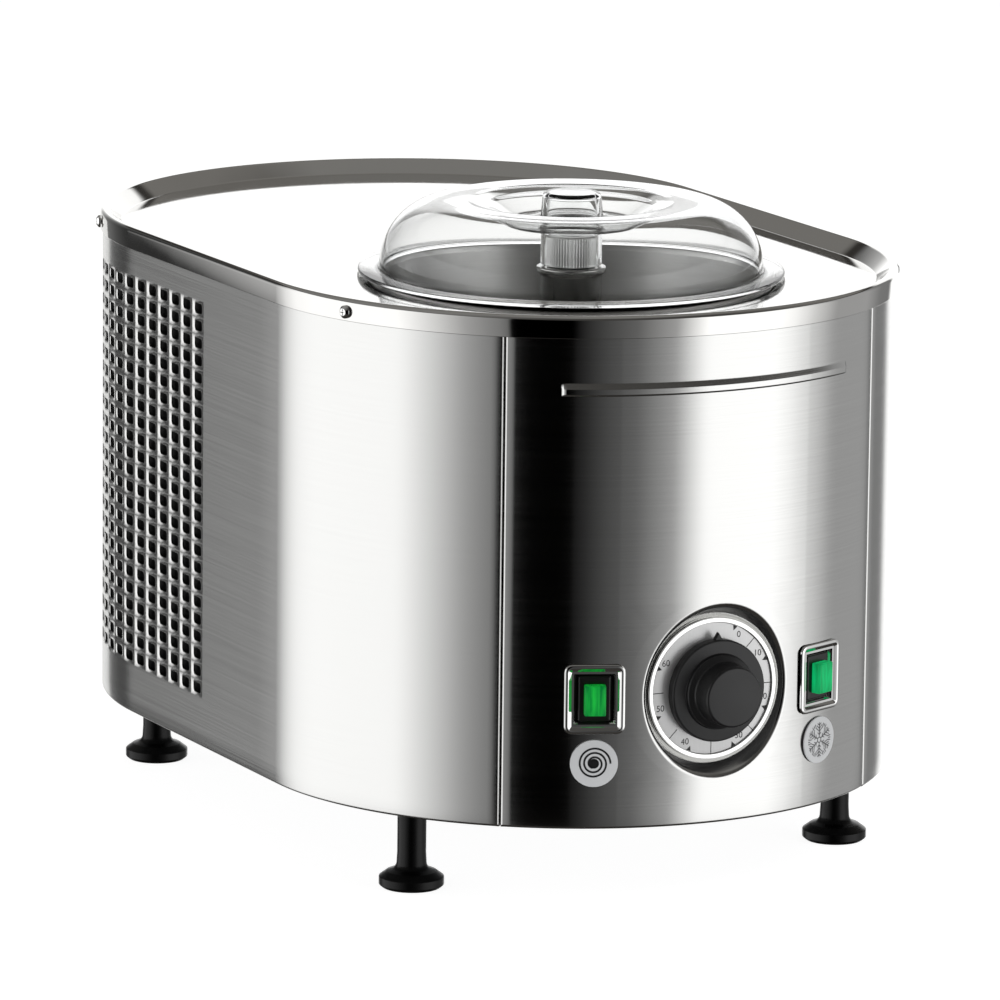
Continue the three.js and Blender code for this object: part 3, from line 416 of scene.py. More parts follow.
body_steel = steel("brushed body steel", (0.63, 0.63, 0.62), WALL_GRAIN, 0.17, 0.24, 0.0025 * MM,
                   anisotropic=0.6, colour_swing=0.025)
panel_steel = steel("brushed panel steel", (0.63, 0.63, 0.62), WALL_GRAIN, 0.12, 0.18, 0.0015 * MM, 0.5)
mirror_steel = steel("polished cover steel", (0.66, 0.655, 0.64), (30, 30, 30), 0.045, 0.08, 0.0,
                     colour_swing=0.015)
chrome = steel("chrome trim", (0.82, 0.82, 0.81), (260, 260, 260), 0.05, 0.11, 0.0, colour_swing=0.02)
bowl_steel = steel("bowl steel", (0.72, 0.72, 0.71), LATHED_GRAIN, 0.28, 0.36, 0.002 * MM, 0.9)
churn_steel = steel("paddle steel", (0.5, 0.5, 0.49), (160, 160, 500), 0.14, 0.24, 0.003 * MM)
nut_steel = steel("knurled nut steel", (0.88, 0.88, 0.87), (700, 700, 700), 0.3, 0.42, 0.004 * MM)
bearing_steel = steel("bearing steel", (0.45, 0.45, 0.45), (300, 300, 900), 0.18, 0.32, 0.003 * MM)
aluminium = steel("cast aluminium", (0.62, 0.63, 0.64), (420, 420, 420), 0.38, 0.55, 0.03 * MM)
copper = steel("drawn copper", (0.72, 0.4, 0.24), (90, 90, 90), 0.22, 0.42, 0.006 * MM, colour_swing=0.16)

black_plastic = plastic("black switch plastic", (0.004, 0.004, 0.004), 0.26, 0.36, 0.35, 0.008 * MM)
knob_plastic = plastic("knob plastic", (0.006, 0.006, 0.0065), 0.36, 0.46, 0.25, 0.01 * MM)
foot_plastic = plastic("foot plastic", (0.0012, 0.0012, 0.0012), 0.24, 0.34, 0.45, 0.01 * MM,
                       specular=0.2)
fan_plastic = plastic("fan plastic", (0.014, 0.014, 0.015), 0.4, 0.55, 0.4, 0.012 * MM)
white_plastic = plastic("natural nylon", (0.72, 0.7, 0.63), 0.38, 0.5, 0.4, 0.01 * MM, 0.06)
# painted shade: black sheet material for the dark inside seen through the vents
painted_shade_black = plastic("painted shade sheet", (0.003, 0.003, 0.003), 0.85, 0.98, 0.6, 0.2 * MM)
rubber = plastic("black rubber", (0.018, 0.018, 0.018), 0.7, 0.85, 0.5, 0.03 * MM)
enamel = plastic("black enamel", (0.016, 0.016, 0.018), 0.22, 0.38, 1.6, 0.02 * MM)
badge_film = plastic("badge film", (0.6, 0.61, 0.62), 0.34, 0.44, 0.3, 0.004 * MM, 0.03)
ink = plastic("printing ink", (0.012, 0.012, 0.013), 0.4, 0.55, 0.12, 0.002 * MM)


def galvanised_sheet():
    material = principled("galvanised sheet", grey(0.48), 0.45, 0.9)
    links = {"Vector": place_scaled(material, (110, 110, 110)), "Scale": 1.0}
    spangle = add_node(material, "ShaderNodeTexVoronoi", links).outputs["Color"]
    level = add_node(material, "ShaderNodeRGBToBW", {"Color": spangle}).outputs[0]
    vary_colour(material, level, (0.4, 0.41, 0.42), (0.55, 0.56, 0.57), 0.1, 0.9)
    feed(material, "Roughness", between(material, level, 0.34, 0.56, 0.1, 0.9))
    return material


def foam_block():
    material = principled("rigid foam", (0.8, 0.72, 0.46), 0.9)
    cells = noise(material, (900, 900, 900), detail=5.0)
    vary_colour(material, cells, (0.66, 0.58, 0.34), (0.86, 0.79, 0.54))
    vary_roughness(material, cells, 0.82, 0.98)
    emboss(material, cells, 0.2 * MM, 0.8)
    return material


def clear_acrylic():
    """Clear moulded plastic with faint handling haze."""
    material = principled("clear acrylic", (0.985, 0.99, 0.99), 0.02, IOR=1.3, Transmission_Weight=1.0)
    haze = noise(material, (35, 35, 35), detail=4.0)
    vary_roughness(material, haze, 0.0, 0.035)
    return material


def lit_lens(name, edge, middle):
    """Green lens with the lamp behind it: brightest in the middle, ribbed up and down."""
    material = principled(name, (0.0, 0.1, 0.03), 0.3, Specular_IOR_Level=0.15)
    ribs = noise(material, (620, 620, 60), detail=2.0)
    spot = add_node(material, "ShaderNodeTexCoord").outputs["Generated"]
    links = {0: spot, 1: (0.5, 0.5, 0.5)}
    away = add_node(material, "ShaderNodeVectorMath", links, operation="DISTANCE").outputs["Value"]
    lamp = between(material, away, 0.3, -0.3, 0.0, 0.8)
    level = add_node(material, "ShaderNodeMath", {0: ribs, 1: lamp}, operation="ADD").outputs[0]
    vary_colour(material, level, edge, middle, 0.2, 0.85, "Emission Color")
    shader_of(material).inputs["Emission Strength"].default_value = 0.9
    vary_roughness(material, ribs, 0.24, 0.36)
    return material


def dial_foil():
    """Satin metallised face of the dial."""
    material = principled("satin dial foil", grey(0.6), 0.36, 0.65)
    grain = noise(material, (1500, 1500, 60), detail=3.0)
    vary_colour(material, grain, grey(0.58), grey(0.62))
    vary_roughness(material, grain, 0.33, 0.4)
    return material


galvanised = galvanised_sheet()
foam = foam_block()
acrylic = clear_acrylic()
# The two lenses are one green lens: the chill lens's brighter, bluer glow is painted light for the angle it
# is seen at, and the churn lens is the dimmer copy.
churn_green = lit_lens("lit green lens", (0.001, 0.11, 0.008), (0.012, 0.5, 0.035))
chill_green = lit_lens("brighter painted lens", (0.003, 0.22, 0.06), (0.003, 0.62, 0.19))
dial_face = dial_foil()


# ------------------------------------------------------------------ body walls
def wall_point(s):
    """Plan point and outward direction on the body's outline, a distance round from the front centre."""
    quarter = BODY_R * math.pi / 2
    if s <= quarter:
        angle = s / BODY_R
        out = Vector((math.sin(angle), -math.cos(angle)))
        return FRONT + BODY_R * out, out
    if s <= quarter + 2 * ARC_Y:
        return Vector((BODY_R, FRONT.y + s - quarter)), Vector((1, 0))
    angle = (s - quarter - 2 * ARC_Y) / BODY_R
    out = Vector((math.cos(angle), math.sin(angle)))
    return REAR + BODY_R * out, out


def hem_columns(edge, onward):
    """Columns round a wall's folded upright edge; onward is +1 where the wall goes on to larger angles."""
    angle = edge + onward * BEND / BODY_R
    radial = Vector((math.sin(angle), -math.cos(angle)))
    to_seam = Vector((math.cos(angle), math.sin(angle))) * -onward
    centre = FRONT + (BODY_R - BEND) * radial
    columns = [(centre + BEND * to_seam - radial * depth, to_seam, 0) for depth in (HEM, HEM / 2)]
    bends = 6
    for k in range(bends + 1):
        turn = math.pi / 2 * k / bends
        out = math.cos(turn) * to_seam + math.sin(turn) * radial
        columns.append((centre + BEND * out, out, math.sin(turn)))
    return columns if onward > 0 else columns[::-1]


def bottom_rows():
    """Rows of (inset, height) round the bottom edge, which is rolled inwards."""
    steps = 5
    turns = [math.pi / 2 * k / steps for k in range(steps, -1, -1)]
    return [(BEND * (1 - math.cos(t)), BODY_BOTTOM + BEND * (1 - math.sin(t))) for t in turns]


def wall_grid(columns, rows, keep):
    """Faces between upright columns of (point, outward direction, how far the inset applies) and rows."""
    verts = []
    for point, out, weight in columns:
        for inset, z in rows:
            plan = point - out * inset * weight
            verts.append((plan.x, plan.y, z))
    height = len(rows)
    faces = []
    for i in range(len(columns) - 1):
        for j in range(height - 1):
            if keep(i, j):
                a = i * height + j
                faces.append((a, a + height, a + height + 1, a + 1))
    return verts, faces


def vent_outline(side):
    """Matching points round one vent cell and round its rounded hole, in cell units and metres."""
    border, hole = [], []
    flat = VENT_HALF - Vector((VENT_CORNER, VENT_CORNER))
    corners = [(-flat.x, -flat.y), (flat.x, -flat.y), (flat.x, flat.y), (-flat.x, flat.y)]
    diagonal = VENT_CORNER * math.sqrt(0.5)
    outward = [Vector(way) * VENT_CORNER for way in ((0, -1), (1, 0), (0, 1), (-1, 0))]
    for edge, out in enumerate(outward):
        a, b = Vector(corners[edge]), Vector(corners[(edge + 1) % 4])
        hole.append(a + Vector((math.copysign(diagonal, a.x), math.copysign(diagonal, a.y))))
        hole += [a + out, b + out]
        for k in range(side):
            t = k / side - 0.5
            border.append(((t, -0.5), (0.5, t), (-t, 0.5), (-0.5, -t))[edge])
    return border, [tuple(p) for p in hole]


def vented(column, row):
    """True where a vent is cut: the lowest ones beside the mains inlet are left out."""
    return column < VENT_COUNT[0] - PLAIN_VENTS[0] or row >= PLAIN_VENTS[1]


def vent_cells():
    """The walls' surface round each vent: from the cell's border to the hole, then over its lip."""
    border, hole = vent_outline(VENT_SPLIT)
    count = len(border)
    lip = 1 - VENT_LIP / VENT_HALF.y
    verts, faces = [], []
    for column in range(VENT_COUNT[0]):
        for row in range(VENT_COUNT[1]):
            if not vented(column, row):
                continue
            s0 = VENT_START + VENT_PITCH.x * (column + 0.5)
            z0 = VENT_BOTTOM + VENT_PITCH.y * (row + 0.5)
            ring = [(s0 + u * VENT_PITCH.x, z0 + v * VENT_PITCH.y) for u, v in border]
            ring += [(s0 + u, z0 + v) for u, v in hole]
            ring += [(s0 + u * lip, z0 + v * lip) for u, v in hole]
            base = len(verts)
            for k, (s, z) in enumerate(ring):
                point, out = wall_point(s)
                point = point - out * (VENT_LIP if k >= 2 * count else 0)
                verts.append((point.x, point.y, z))
            for k in range(2 * count):
                n = k + 1 if (k + 1) % count else k + 1 - count
                faces.append((base + k, base + n, base + count + n, base + count + k))
    return verts, faces


def shell_columns():
    """Columns round the walls, and which of them is the first in the vents."""
    columns = hem_columns(SEAM + SEAM_GAP / BODY_R, 1)
    start = (SEAM + (SEAM_GAP + BEND) / BODY_R) * BODY_R
    quarter = BODY_R * math.pi / 2
    arc_steps, flat_steps, back_steps = 30, 4, 4
    plain = [start + (quarter - start) * (k + 1) / arc_steps for k in range(arc_steps)]
    plain += [quarter + (VENT_START - quarter) * (k + 1) / flat_steps for k in range(flat_steps)]
    across = range(VENT_COUNT[0] * VENT_SPLIT)
    vent_lines = [VENT_START + VENT_PITCH.x * (k + 1) / VENT_SPLIT for k in across]
    end = 2 * (quarter + ARC_Y)
    last = vent_lines[-1]
    back = [last + (end - last) * (k + 1) / back_steps for k in range(back_steps)]
    first_vent = len(columns) + len(plain) - 1
    columns += [(*wall_point(s), 1) for s in plain + vent_lines + back]
    return columns, first_vent


def shell_rows():
    """Rows up the walls, and which of them is the first in the vents."""
    low = bottom_rows()
    foot, plain_steps = low[-1][1], 3
    rows = low + [(0, foot + (VENT_BOTTOM - foot) * (k + 1) / plain_steps) for k in range(plain_steps)]
    first_row = len(rows) - 1
    up = range(VENT_COUNT[1] * VENT_SPLIT)
    rows += [(0, VENT_BOTTOM + VENT_PITCH.y * (k + 1) / VENT_SPLIT) for k in up]
    top = rows[-1][1]
    rows += [(0, top + (BODY_TOP - top) * (k + 1) / plain_steps) for k in range(plain_steps)]
    return rows, first_row


def body_shell():
    columns, first_vent = shell_columns()
    rows, first_row = shell_rows()
    inlet_lo, inlet_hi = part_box("mains_inlet")
    clear = 3 * MM

    def keep(i, j):
        column, row = (i - first_vent) // VENT_SPLIT, (j - first_row) // VENT_SPLIT
        if i >= first_vent and j >= first_row and column < VENT_COUNT[0] and row < VENT_COUNT[1]:
            if vented(column, row):
                return False
        x = max(abs(columns[i][0].x), abs(columns[i + 1][0].x))
        beside = columns[i][0].y > REAR.y and x < inlet_hi.x - clear
        behind_inlet = inlet_lo.z + clear < rows[j][1] and rows[j + 1][1] < inlet_hi.z - clear
        return not (beside and behind_inlet)

    verts, faces = joined(wall_grid(columns, rows, keep), vent_cells())
    bm = thickened(*mirrored(verts, faces), SHEET)
    return finished("case_shell", bm, body_steel, stands_for=["body_shell"], sharp=40)


def dust_mat():
    """Black sheet just inside the vents: painted shade for the dark inside of the case."""
    inlet_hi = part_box("mains_inlet")[1]
    side = 3 * MM
    low, high = VENT_BOTTOM - side, VENT_BOTTOM + VENT_COUNT[1] * VENT_PITCH.y + side
    split = inlet_hi.z + 2 * side
    end = BODY_R * math.pi + 2 * ARC_Y
    start = VENT_START - side
    open_from = end - 2 * (inlet_hi.x + side)
    steps = 48
    around = [start + (open_from - start) * k / steps for k in range(steps + 1)]
    around += [open_from + (end - open_from) * (k + 1) / 6 for k in range(6)]
    columns = []
    for s in around:
        point, out = wall_point(s)
        columns.append((point - out * SHADE_SHEET_INSET, out, 0))
    rows = [(0, z) for z in (low, split, high)]

    def keep(i, j):
        return i < steps or j > 0

    bm = thickened(*mirrored(*wall_grid(columns, rows, keep)), 0.8 * MM)
    return finished("vent_painted_shade", bm, painted_shade_black)


# ------------------------------------------------------------------ front panel
def soft_max(a, b, width):
    blend = max(width - abs(a - b), 0) / width
    return max(a, b) + blend * blend * width / 4


def front_depth(x, z):
    """The front panel's y at (x, z): the round front with the dial's dish pressed into it."""
    front = FRONT.y - math.sqrt(BODY_R * BODY_R - x * x)
    radius = math.hypot(x, z - DIAL_Z)
    cone = DISH_FLOOR_Y - (radius - DISH_FLOOR_R) * DISH_SLOPE
    dish = -soft_max(-DISH_FLOOR_Y, -cone, 0.8 * MM)
    return soft_max(front, dish, DISH_LIP)


# Heights across the pressed bar, in halves of its width.
BAR_ROWS = (-1.1, -1, -0.98, -0.94, -0.87, -0.78, -0.7, -0.62, -0.56, -0.3, 0.0, 0.06, 0.1, 0.14, 0.2,
            0.4, 0.6, 0.8, 1, 1.1)


def bar_rise(s, z):
    """Height of the pressed bar at a distance round the front: it leans out downwards to a rounded foot."""
    v = (z - BAR_Z) / BAR_HALF
    if abs(v) >= 1:
        return 0.0
    foot = 0.4
    rise = min((1 - v) / 0.9, 1)
    if v < foot - 1:
        rise *= math.sqrt(max(1 - ((foot - 1 - v) / foot) ** 2, 0))
    beyond = max(abs(s) - (BAR_REACH * BODY_R - BAR_HALF), 0) / BAR_HALF
    return BAR_RISE * rise * math.sqrt(max(1 - beyond * beyond, 0))


def dish_patch():
    """The right half of the square of panel that holds the dial's dish: rings that end in the square."""
    directions = [math.pi * k / (4 * PATCH_PARTS) for k in range(4 * PATCH_PARTS + 1)]
    fine_from, fine_to, fine = 31, 42.6, 36
    radii = [r * MM for r in (5, 18, 29, 30.8)]
    radii += [fine_from * MM + (fine_to - fine_from) * MM * k / fine for k in range(fine + 1)]
    radii += [43.5 * MM]
    rings = [[(r * math.sin(d), r * math.cos(d)) for d in directions] for r in radii]
    square = []
    for d in directions:
        far = max(abs(math.sin(d)), abs(math.cos(d)))
        square.append((DISH_PATCH * math.sin(d) / far, DISH_PATCH * math.cos(d) / far))
    middle = [((a[0] + b[0]) / 2, (a[1] + b[1]) / 2) for a, b in zip(rings[-1], square)]
    rings += [middle, square]
    count = len(directions)
    verts, faces = [], []
    for ring in rings:
        verts += [(x, front_depth(x, DIAL_Z + z), DIAL_Z + z) for x, z in ring]
    for i in range(len(rings) - 1):
        for j in range(count - 1):
            a = i * count + j
            faces.append((a, a + 1, a + count + 1, a + count))
    return verts, faces


def panel_angles(spread):
    """Angles of the panel's columns, denser round the switch's opening and the bar's end."""
    angles = [math.asin(DISH_PATCH * t / BODY_R) for t in spread]
    start, end = SWITCH_OPENING
    angles += [start] + [start + (end - start) * k / 4 for k in range(1, 5)]
    angles += [BAR_REACH - math.radians(2.2) + math.radians(0.22) * k for k in range(1, 12)]
    last = angles[-1]
    seam_start = SEAM - BEND / BODY_R
    return angles + [last + (seam_start - last) * k / 6 for k in range(1, 6)]


def panel_rows(low, spread):
    dish_zs = [DIAL_Z - DISH_PATCH * t for t in reversed(spread)]
    dish_zs += [DIAL_Z + DISH_PATCH * t for t in spread[1:]]
    bar_zs = [BAR_Z + BAR_HALF * v for v in BAR_ROWS]
    top = dish_zs[-1]
    rows = low + [(0, z) for z in dish_zs]
    rows += [(0, top + (bar_zs[0] - top) * (k + 1) / 5) for k in range(4)]
    rows += [(0, z) for z in bar_zs]
    return rows + [(0, bar_zs[-1] + (BODY_TOP - bar_zs[-1]) * (k + 1) / 3) for k in range(3)]


def raise_bar(verts, columns, angles, rows):
    for i, angle in enumerate(angles):
        out = columns[i][1]
        for j, (_, z) in enumerate(rows):
            rise = bar_rise(angle * BODY_R, z)
            if rise:
                x, y, _ = verts[i * len(rows) + j]
                verts[i * len(rows) + j] = (x + out.x * rise, y + out.y * rise, z)


def front_panel():
    spread = [math.tan(math.pi / 4 * k / PATCH_PARTS) for k in range(PATCH_PARTS + 1)]
    angles = panel_angles(spread)
    columns = [(*wall_point(a * BODY_R), 1) for a in angles] + hem_columns(SEAM, -1)
    low = bottom_rows()
    rows = panel_rows(low, spread)
    first = len(low)
    tiny = 0.01 * MM
    opening_z = DISH_PATCH * spread[4] + tiny

    def keep(i, j):
        z = (rows[j][1] + rows[j + 1][1]) / 2
        if i < PATCH_PARTS and first <= j < first + 2 * PATCH_PARTS:
            return False
        if i + 1 < len(angles):
            angle = (angles[i] + angles[i + 1]) / 2
            return not (SWITCH_OPENING[0] < angle < SWITCH_OPENING[1] and abs(z - DIAL_Z) < opening_z)
        return True

    verts, faces = wall_grid(columns, rows, keep)
    raise_bar(verts, columns, angles, rows)
    verts, faces = joined((verts, faces), dish_patch())
    bm = thickened(*mirrored(verts, faces), SHEET)
    return finished("front_skin", bm, panel_steel, stands_for=["front_panel"], sharp=40)


# ------------------------------------------------------------------ cover
def stadium(radius, steps=64):
    """Plan points round the case at a radius from its end centres, anticlockwise from the front right."""
    points = []
    for centre, start in ((REAR, 0.0), (FRONT, math.pi)):
        for k in range(steps + 1):
            angle = start + math.pi * k / steps
            points.append((centre.x + radius * math.cos(angle), centre.y + radius * math.sin(angle)))
    return points


def top_cover():
    """Skirt, rolled top edge, inward slope and the sunken plate with the bowl's mouth."""
    skin = 0.8 * MM
    plate_z = COVER_TOP - PLATE_DROP
    apex = plate_z + RIM_WIDTH * math.tan(RIM_SLOPE)
    outside = rounded([
        (COVER_R - skin, SKIRT_BOTTOM, 0), (COVER_R, SKIRT_BOTTOM, 0.25 * MM), (COVER_R, apex, RIM_EDGE),
        (COVER_R - RIM_WIDTH, plate_z, 1.6 * MM), (COVER_R - RIM_WIDTH - 6 * MM, plate_z, 0)], steps=10)
    verts, faces = loft([[Vector((x, y, z)) for x, y in stadium(r)] for r, z in outside])
    faces = faces[:-2]
    width = len(stadium(COVER_R))
    bm, points = filled(verts, faces)
    inner = points[-width:]
    mouth_r = 88.6 * MM
    lip = [(mouth_r + 2 * MM, plate_z), (mouth_r + 0.5 * MM, plate_z - 0.3 * MM),
           (mouth_r, plate_z - 1.4 * MM)]
    count = 96
    circles = []
    for radius, z in lip:
        ring = []
        for k in range(count):
            angle = TAU * k / count
            ring.append(bm.verts.new((radius * math.cos(angle), FRONT.y + radius * math.sin(angle), z)))
        circles.append(ring)
    for upper, lower in zip(circles, circles[1:]):
        for k in range(count):
            n = (k + 1) % count
            bm.faces.new([upper[k], upper[n], lower[n], lower[k]])
    edges = [bm.edges.get((inner[k], inner[(k + 1) % width])) for k in range(width)]
    edges += [bm.edges.get((circles[0][k], circles[0][(k + 1) % count])) for k in range(count)]
    bmesh.ops.triangle_fill(bm, use_beauty=True, use_dissolve=False, edges=edges)
    weld(bm)
    bmesh.ops.recalc_face_normals(bm, faces=bm.faces)
    bm.faces.ensure_lookup_table()
    highest = max(bm.faces, key=lambda f: f.calc_center_median().z)
    if highest.normal.z < 0:
        bmesh.ops.reverse_faces(bm, faces=bm.faces)
    verts = [v.co.copy() for v in bm.verts]
    bm.verts.index_update()
    faces = [tuple(v.index for v in f.verts) for f in bm.faces]
    bm.free()
    sheet = thickened(verts, faces, skin * 0.9)
    return finished("cover_sheet", sheet, mirror_steel,
                    stands_for=["top_cover"], sharp=40)


def cover_screw(node):
    """Domed head with a cross recess, on the cover's skirt at the CAD screw's place."""
    lo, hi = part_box(node)
    middle = (lo + hi) / 2
    centre = FRONT if middle.y < MID_Y else REAR
    out = Vector((middle.x - centre.x, middle.y - centre.y)).normalized()
    head_r = 3 * MM
    start = COVER_R + 0.3 * MM
    profile = rounded([
        (0, -1.2 * MM, 0), (1.4 * MM, -1.2 * MM, 0), (1.4 * MM, 0, 0), (head_r, 0, 0.15 * MM),
        (head_r * 0.96, 0.9 * MM, 0.4 * MM), (head_r * 0.55, 1.9 * MM, 0.9 * MM), (0, 2.05 * MM, 0)])
    turn = Matrix(((-out.y, 0, out.x), (out.x, 0, out.y), (0, 1, 0))).to_4x4()
    spot = Matrix.Translation((centre.x + out.x * start, centre.y + out.y * start, middle.z))
    place = spot @ turn
    head = make(node + "_head", lathe(profile, 40), place, chrome, stands_for=[node])
    recess = []
    for half in ((1.55, 0.28), (0.28, 1.55)):
        outline = rounded_rectangle(half[0] * MM, half[1] * MM, 0.1 * MM, 2)
        taper = [(x * 0.8, y * 0.8) for x, y in outline]
        levels = ((taper, 0.9 * MM), (outline, 3 * MM))
        recess.append(loft([[Vector((x, y, z)) for x, y in ring] for ring, z in levels]))
    cutter_mesh = bpy.data.meshes.new("cross")
    cross_verts, cross_faces = joined(*recess)
    cutter_mesh.from_pydata(placed(cross_verts, place), [], cross_faces)
    cut(head, cutter_mesh)


def cut(piece, cutter_mesh):
    """Takes one mesh away from a piece for good."""
    cutter = linked("cutter", cutter_mesh)
    modifier = piece.modifiers.new("cut", "BOOLEAN")
    modifier.operation = "DIFFERENCE"
    modifier.solver = "EXACT"
    modifier.use_self = True
    modifier.object = cutter
    evaluated = piece.evaluated_get(bpy.context.evaluated_depsgraph_get())
    result = bpy.data.meshes.new_from_object(evaluated)
    piece.modifiers.clear()
    piece.data = result
    result.set_sharp_from_angle(angle=math.radians(34))
    bpy.data.objects.remove(cutter)


# ------------------------------------------------------------------ feet
def foot(node):
    lo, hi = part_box(node)
    base_r = (hi.x - lo.x) / 2
    stem_r = 6.5 * MM
    outline = rounded([
        (0, 0, 0), (base_r - 1.6 * MM, 0, 0.5 * MM), (base_r, 1.3 * MM, 0.8 * MM),
        (base_r, 4.9 * MM, 0.8 * MM), (base_r - 3.4 * MM, 7.4 * MM, 2.4 * MM),
        (stem_r + 0.4 * MM, 8.9 * MM, 3.6 * MM), (stem_r, 16 * MM, 2 * MM),
        (stem_r, hi.z, 0.3 * MM), (0, hi.z, 0)], steps=7)
    place = about((lo.x + hi.x) / 2, (lo.y + hi.y) / 2)
    make(node + "_moulding", lathe(outline, 72), place, foot_plastic, stands_for=[node])


# ------------------------------------------------------------------ bowl, paddle, nut and lid
POST_TOP = 234 * MM        # top of the post in the bowl's middle, under the paddle's hub


def bowl():
    radius, floor, post_r, wall = 86.3 * MM, 163 * MM, 9.5 * MM, 1 * MM
    inner_r, flare_z = radius - 0.9 * MM, 233 * MM
    rim_r = (bowl_hi.x - bowl_lo.x) / 2
    rim_z = bowl_hi.z
    outline = rounded([
        (rim_r, rim_z - 0.55 * MM, 0.2 * MM), (rim_r, rim_z, 0.25 * MM),
        (radius + 2.2 * MM, rim_z, 0.9 * MM),
        (radius + 1.3 * MM, rim_z - 3 * MM, 1.5 * MM), (inner_r, flare_z, 60 * MM),
        (inner_r, floor, 12 * MM), (post_r, floor, 3 * MM),
        (post_r, POST_TOP, 0.4 * MM), (post_r - 1.2 * MM, POST_TOP, 0.4 * MM),
        (post_r - 1.2 * MM, floor - wall, 2 * MM),
        (radius, floor - wall, 13 * MM), (radius, flare_z, 60 * MM),
        (radius + 2 * MM, rim_z - 3.2 * MM, 1.5 * MM),
        (radius + 2.4 * MM, rim_z - 0.55 * MM, 0.6 * MM)], closed=True, steps=8)
    make("bowl_liner", lathe(outline, 144), about(*FRONT), bowl_steel, stands_for=["bowl"])


def paddle():
    hub_r, collar_r, bore = 14 * MM, 15.8 * MM, 10.5 * MM
    top, low, roof = 264.4 * MM, 167 * MM, POST_TOP + 3 * MM
    outline = rounded([
        (bore, low, 0.4 * MM), (hub_r, low, 0.8 * MM), (hub_r, 260.4 * MM, 0.8 * MM),
        (collar_r, 262 * MM, 0.4 * MM),
        (collar_r, top, 0.7 * MM), (5.2 * MM, top, 0.2 * MM), (5.2 * MM, roof, 0),
        (bore, roof, 0)], closed=True, steps=4)
    hub = lathe(outline, 96)
    reach, blade_half = 84.6 * MM, 2.5 * MM
    sides = []
    for turn in (0, math.pi):
        corners = [
            (hub_r - 1.5 * MM, low, 0), (reach, 166 * MM, 14 * MM), (reach, 238 * MM, 5 * MM),
            (72 * MM, 238 * MM, 6 * MM), (69 * MM, 184 * MM, 12 * MM), (hub_r - 1.5 * MM, 186 * MM, 0)]
        blade = rounded(corners, closed=True, steps=8)
        loops = []
        for inset, y in ((0.8, -1.0), (0.25, -0.75), (0, -0.4), (0, 0.4), (0.25, 0.75), (0.8, 1.0)):
            middle_x = sum(p.x for p in blade) / len(blade)
            middle_z = sum(p.y for p in blade) / len(blade)
            loop = []
            for p in blade:
                towards = Vector((middle_x - p.x, middle_z - p.y)).normalized() * inset * MM
                loop.append(Vector((p.x + towards.x, y * blade_half, p.y + towards.y)))
            loops.append(loop)
        verts, faces = loft(loops)
        sides.append((placed(verts, Matrix.Rotation(turn, 4, "Z")), faces))
    form = joined(hub, *sides)
    make("churn_paddle", form, about(*FRONT), churn_steel, "churn", ["paddle"])


def paddle_nut():
    """Round nut with a fine straight knurl and chamfered ends."""
    radius, bore = (nut_hi.x - nut_lo.x) / 2, 4.4 * MM
    low, high = nut_lo.z, nut_hi.z
    ridges, depth, chamfer = 54, 0.3 * MM, 0.9 * MM
    profile = [(bore, low, 0), (radius - chamfer, low, 0), (radius, low + chamfer, 1),
               (radius, high - chamfer, 1), (radius - chamfer, high, 0),
               (bore + 0.4 * MM, high, 0), (bore, high - 0.4 * MM, 0)]
    loops = []
    samples = ridges * 4
    for r, z, knurl in profile:
        loop = []
        for k in range(samples):
            angle = TAU * k / samples
            wave = (1, 0.5, 0, 0.5)[k % 4]
            rr = r - depth * knurl * (1 - wave)
            loop.append(Vector((rr * math.cos(angle), rr * math.sin(angle), z)))
        loops.append(loop)
    form = loft(loops, closed=True)
    make("knurled_nut", form, about(*FRONT), nut_steel, "nut", ["paddle_nut"], sharp=25)


def lid():
    """Clear lid: flange, domed shoulder, dished middle, hollow grip and the tube round the nut."""
    flange_r = (lid_hi.x - lid_lo.x) / 2
    low, flange_z, top = lid_lo.z, lid_lo.z + 1.6 * MM, lid_hi.z
    dome_r, dome_arc, thick = 87.1 * MM, 30 * MM, 1.6 * MM
    centre = Vector((dome_r - dome_arc, 264.4 * MM))
    steps = 20
    turns = [math.pi / 2 * k / steps for k in range(steps + 1)]

    def shoulder(radius):
        return [(centre.x + radius * math.cos(t), centre.y + radius * math.sin(t), 0) for t in turns]

    crest = centre.y + dome_arc
    guide_in, guide_out = 12.2 * MM, 13.9 * MM
    dish = [(46 * MM, crest - 0.3 * MM, 12 * MM), (38 * MM, crest - 2.4 * MM, 10 * MM),
            (27 * MM, 285 * MM, 9 * MM)]
    under = [(r + 0.5 * MM, z - thick, radius) for r, z, radius in reversed(dish)]
    outline = [(flange_r, low, 0.3 * MM), (flange_r, flange_z, 0.8 * MM),
               (dome_r + 0.4 * MM, flange_z, 0.6 * MM)]
    outline += shoulder(dome_arc) + dish
    outline += [(14.4 * MM, 284 * MM, 1.2 * MM), (13.1 * MM, top, 1.8 * MM), (0, top, 0),
                (0, top - 2 * MM, 0), (11 * MM, top - 2 * MM, 1.2 * MM),
                (guide_in, nut_hi.z + 0.8 * MM, 0.5 * MM),
                (guide_in, 265.4 * MM, 0.3 * MM), (guide_out, 265.4 * MM, 0.3 * MM),
                (guide_out, 282.2 * MM, 1 * MM)]
    outline += under + shoulder(dome_arc - thick)[::-1] + [(dome_r - thick, low, 0.3 * MM)]
    form = lathe(rounded(outline, closed=True, steps=6), 144)
    make("lid_dome", form, about(*FRONT), acrylic, "lid", ["lid"], sharp=30)


# ------------------------------------------------------------------ timer
def dial_matrix():
    return Matrix.Translation((0, PLATE_Y, DIAL_Z)) @ Matrix(((1, 0, 0), (0, 0, -1), (0, 1, 0))).to_4x4()


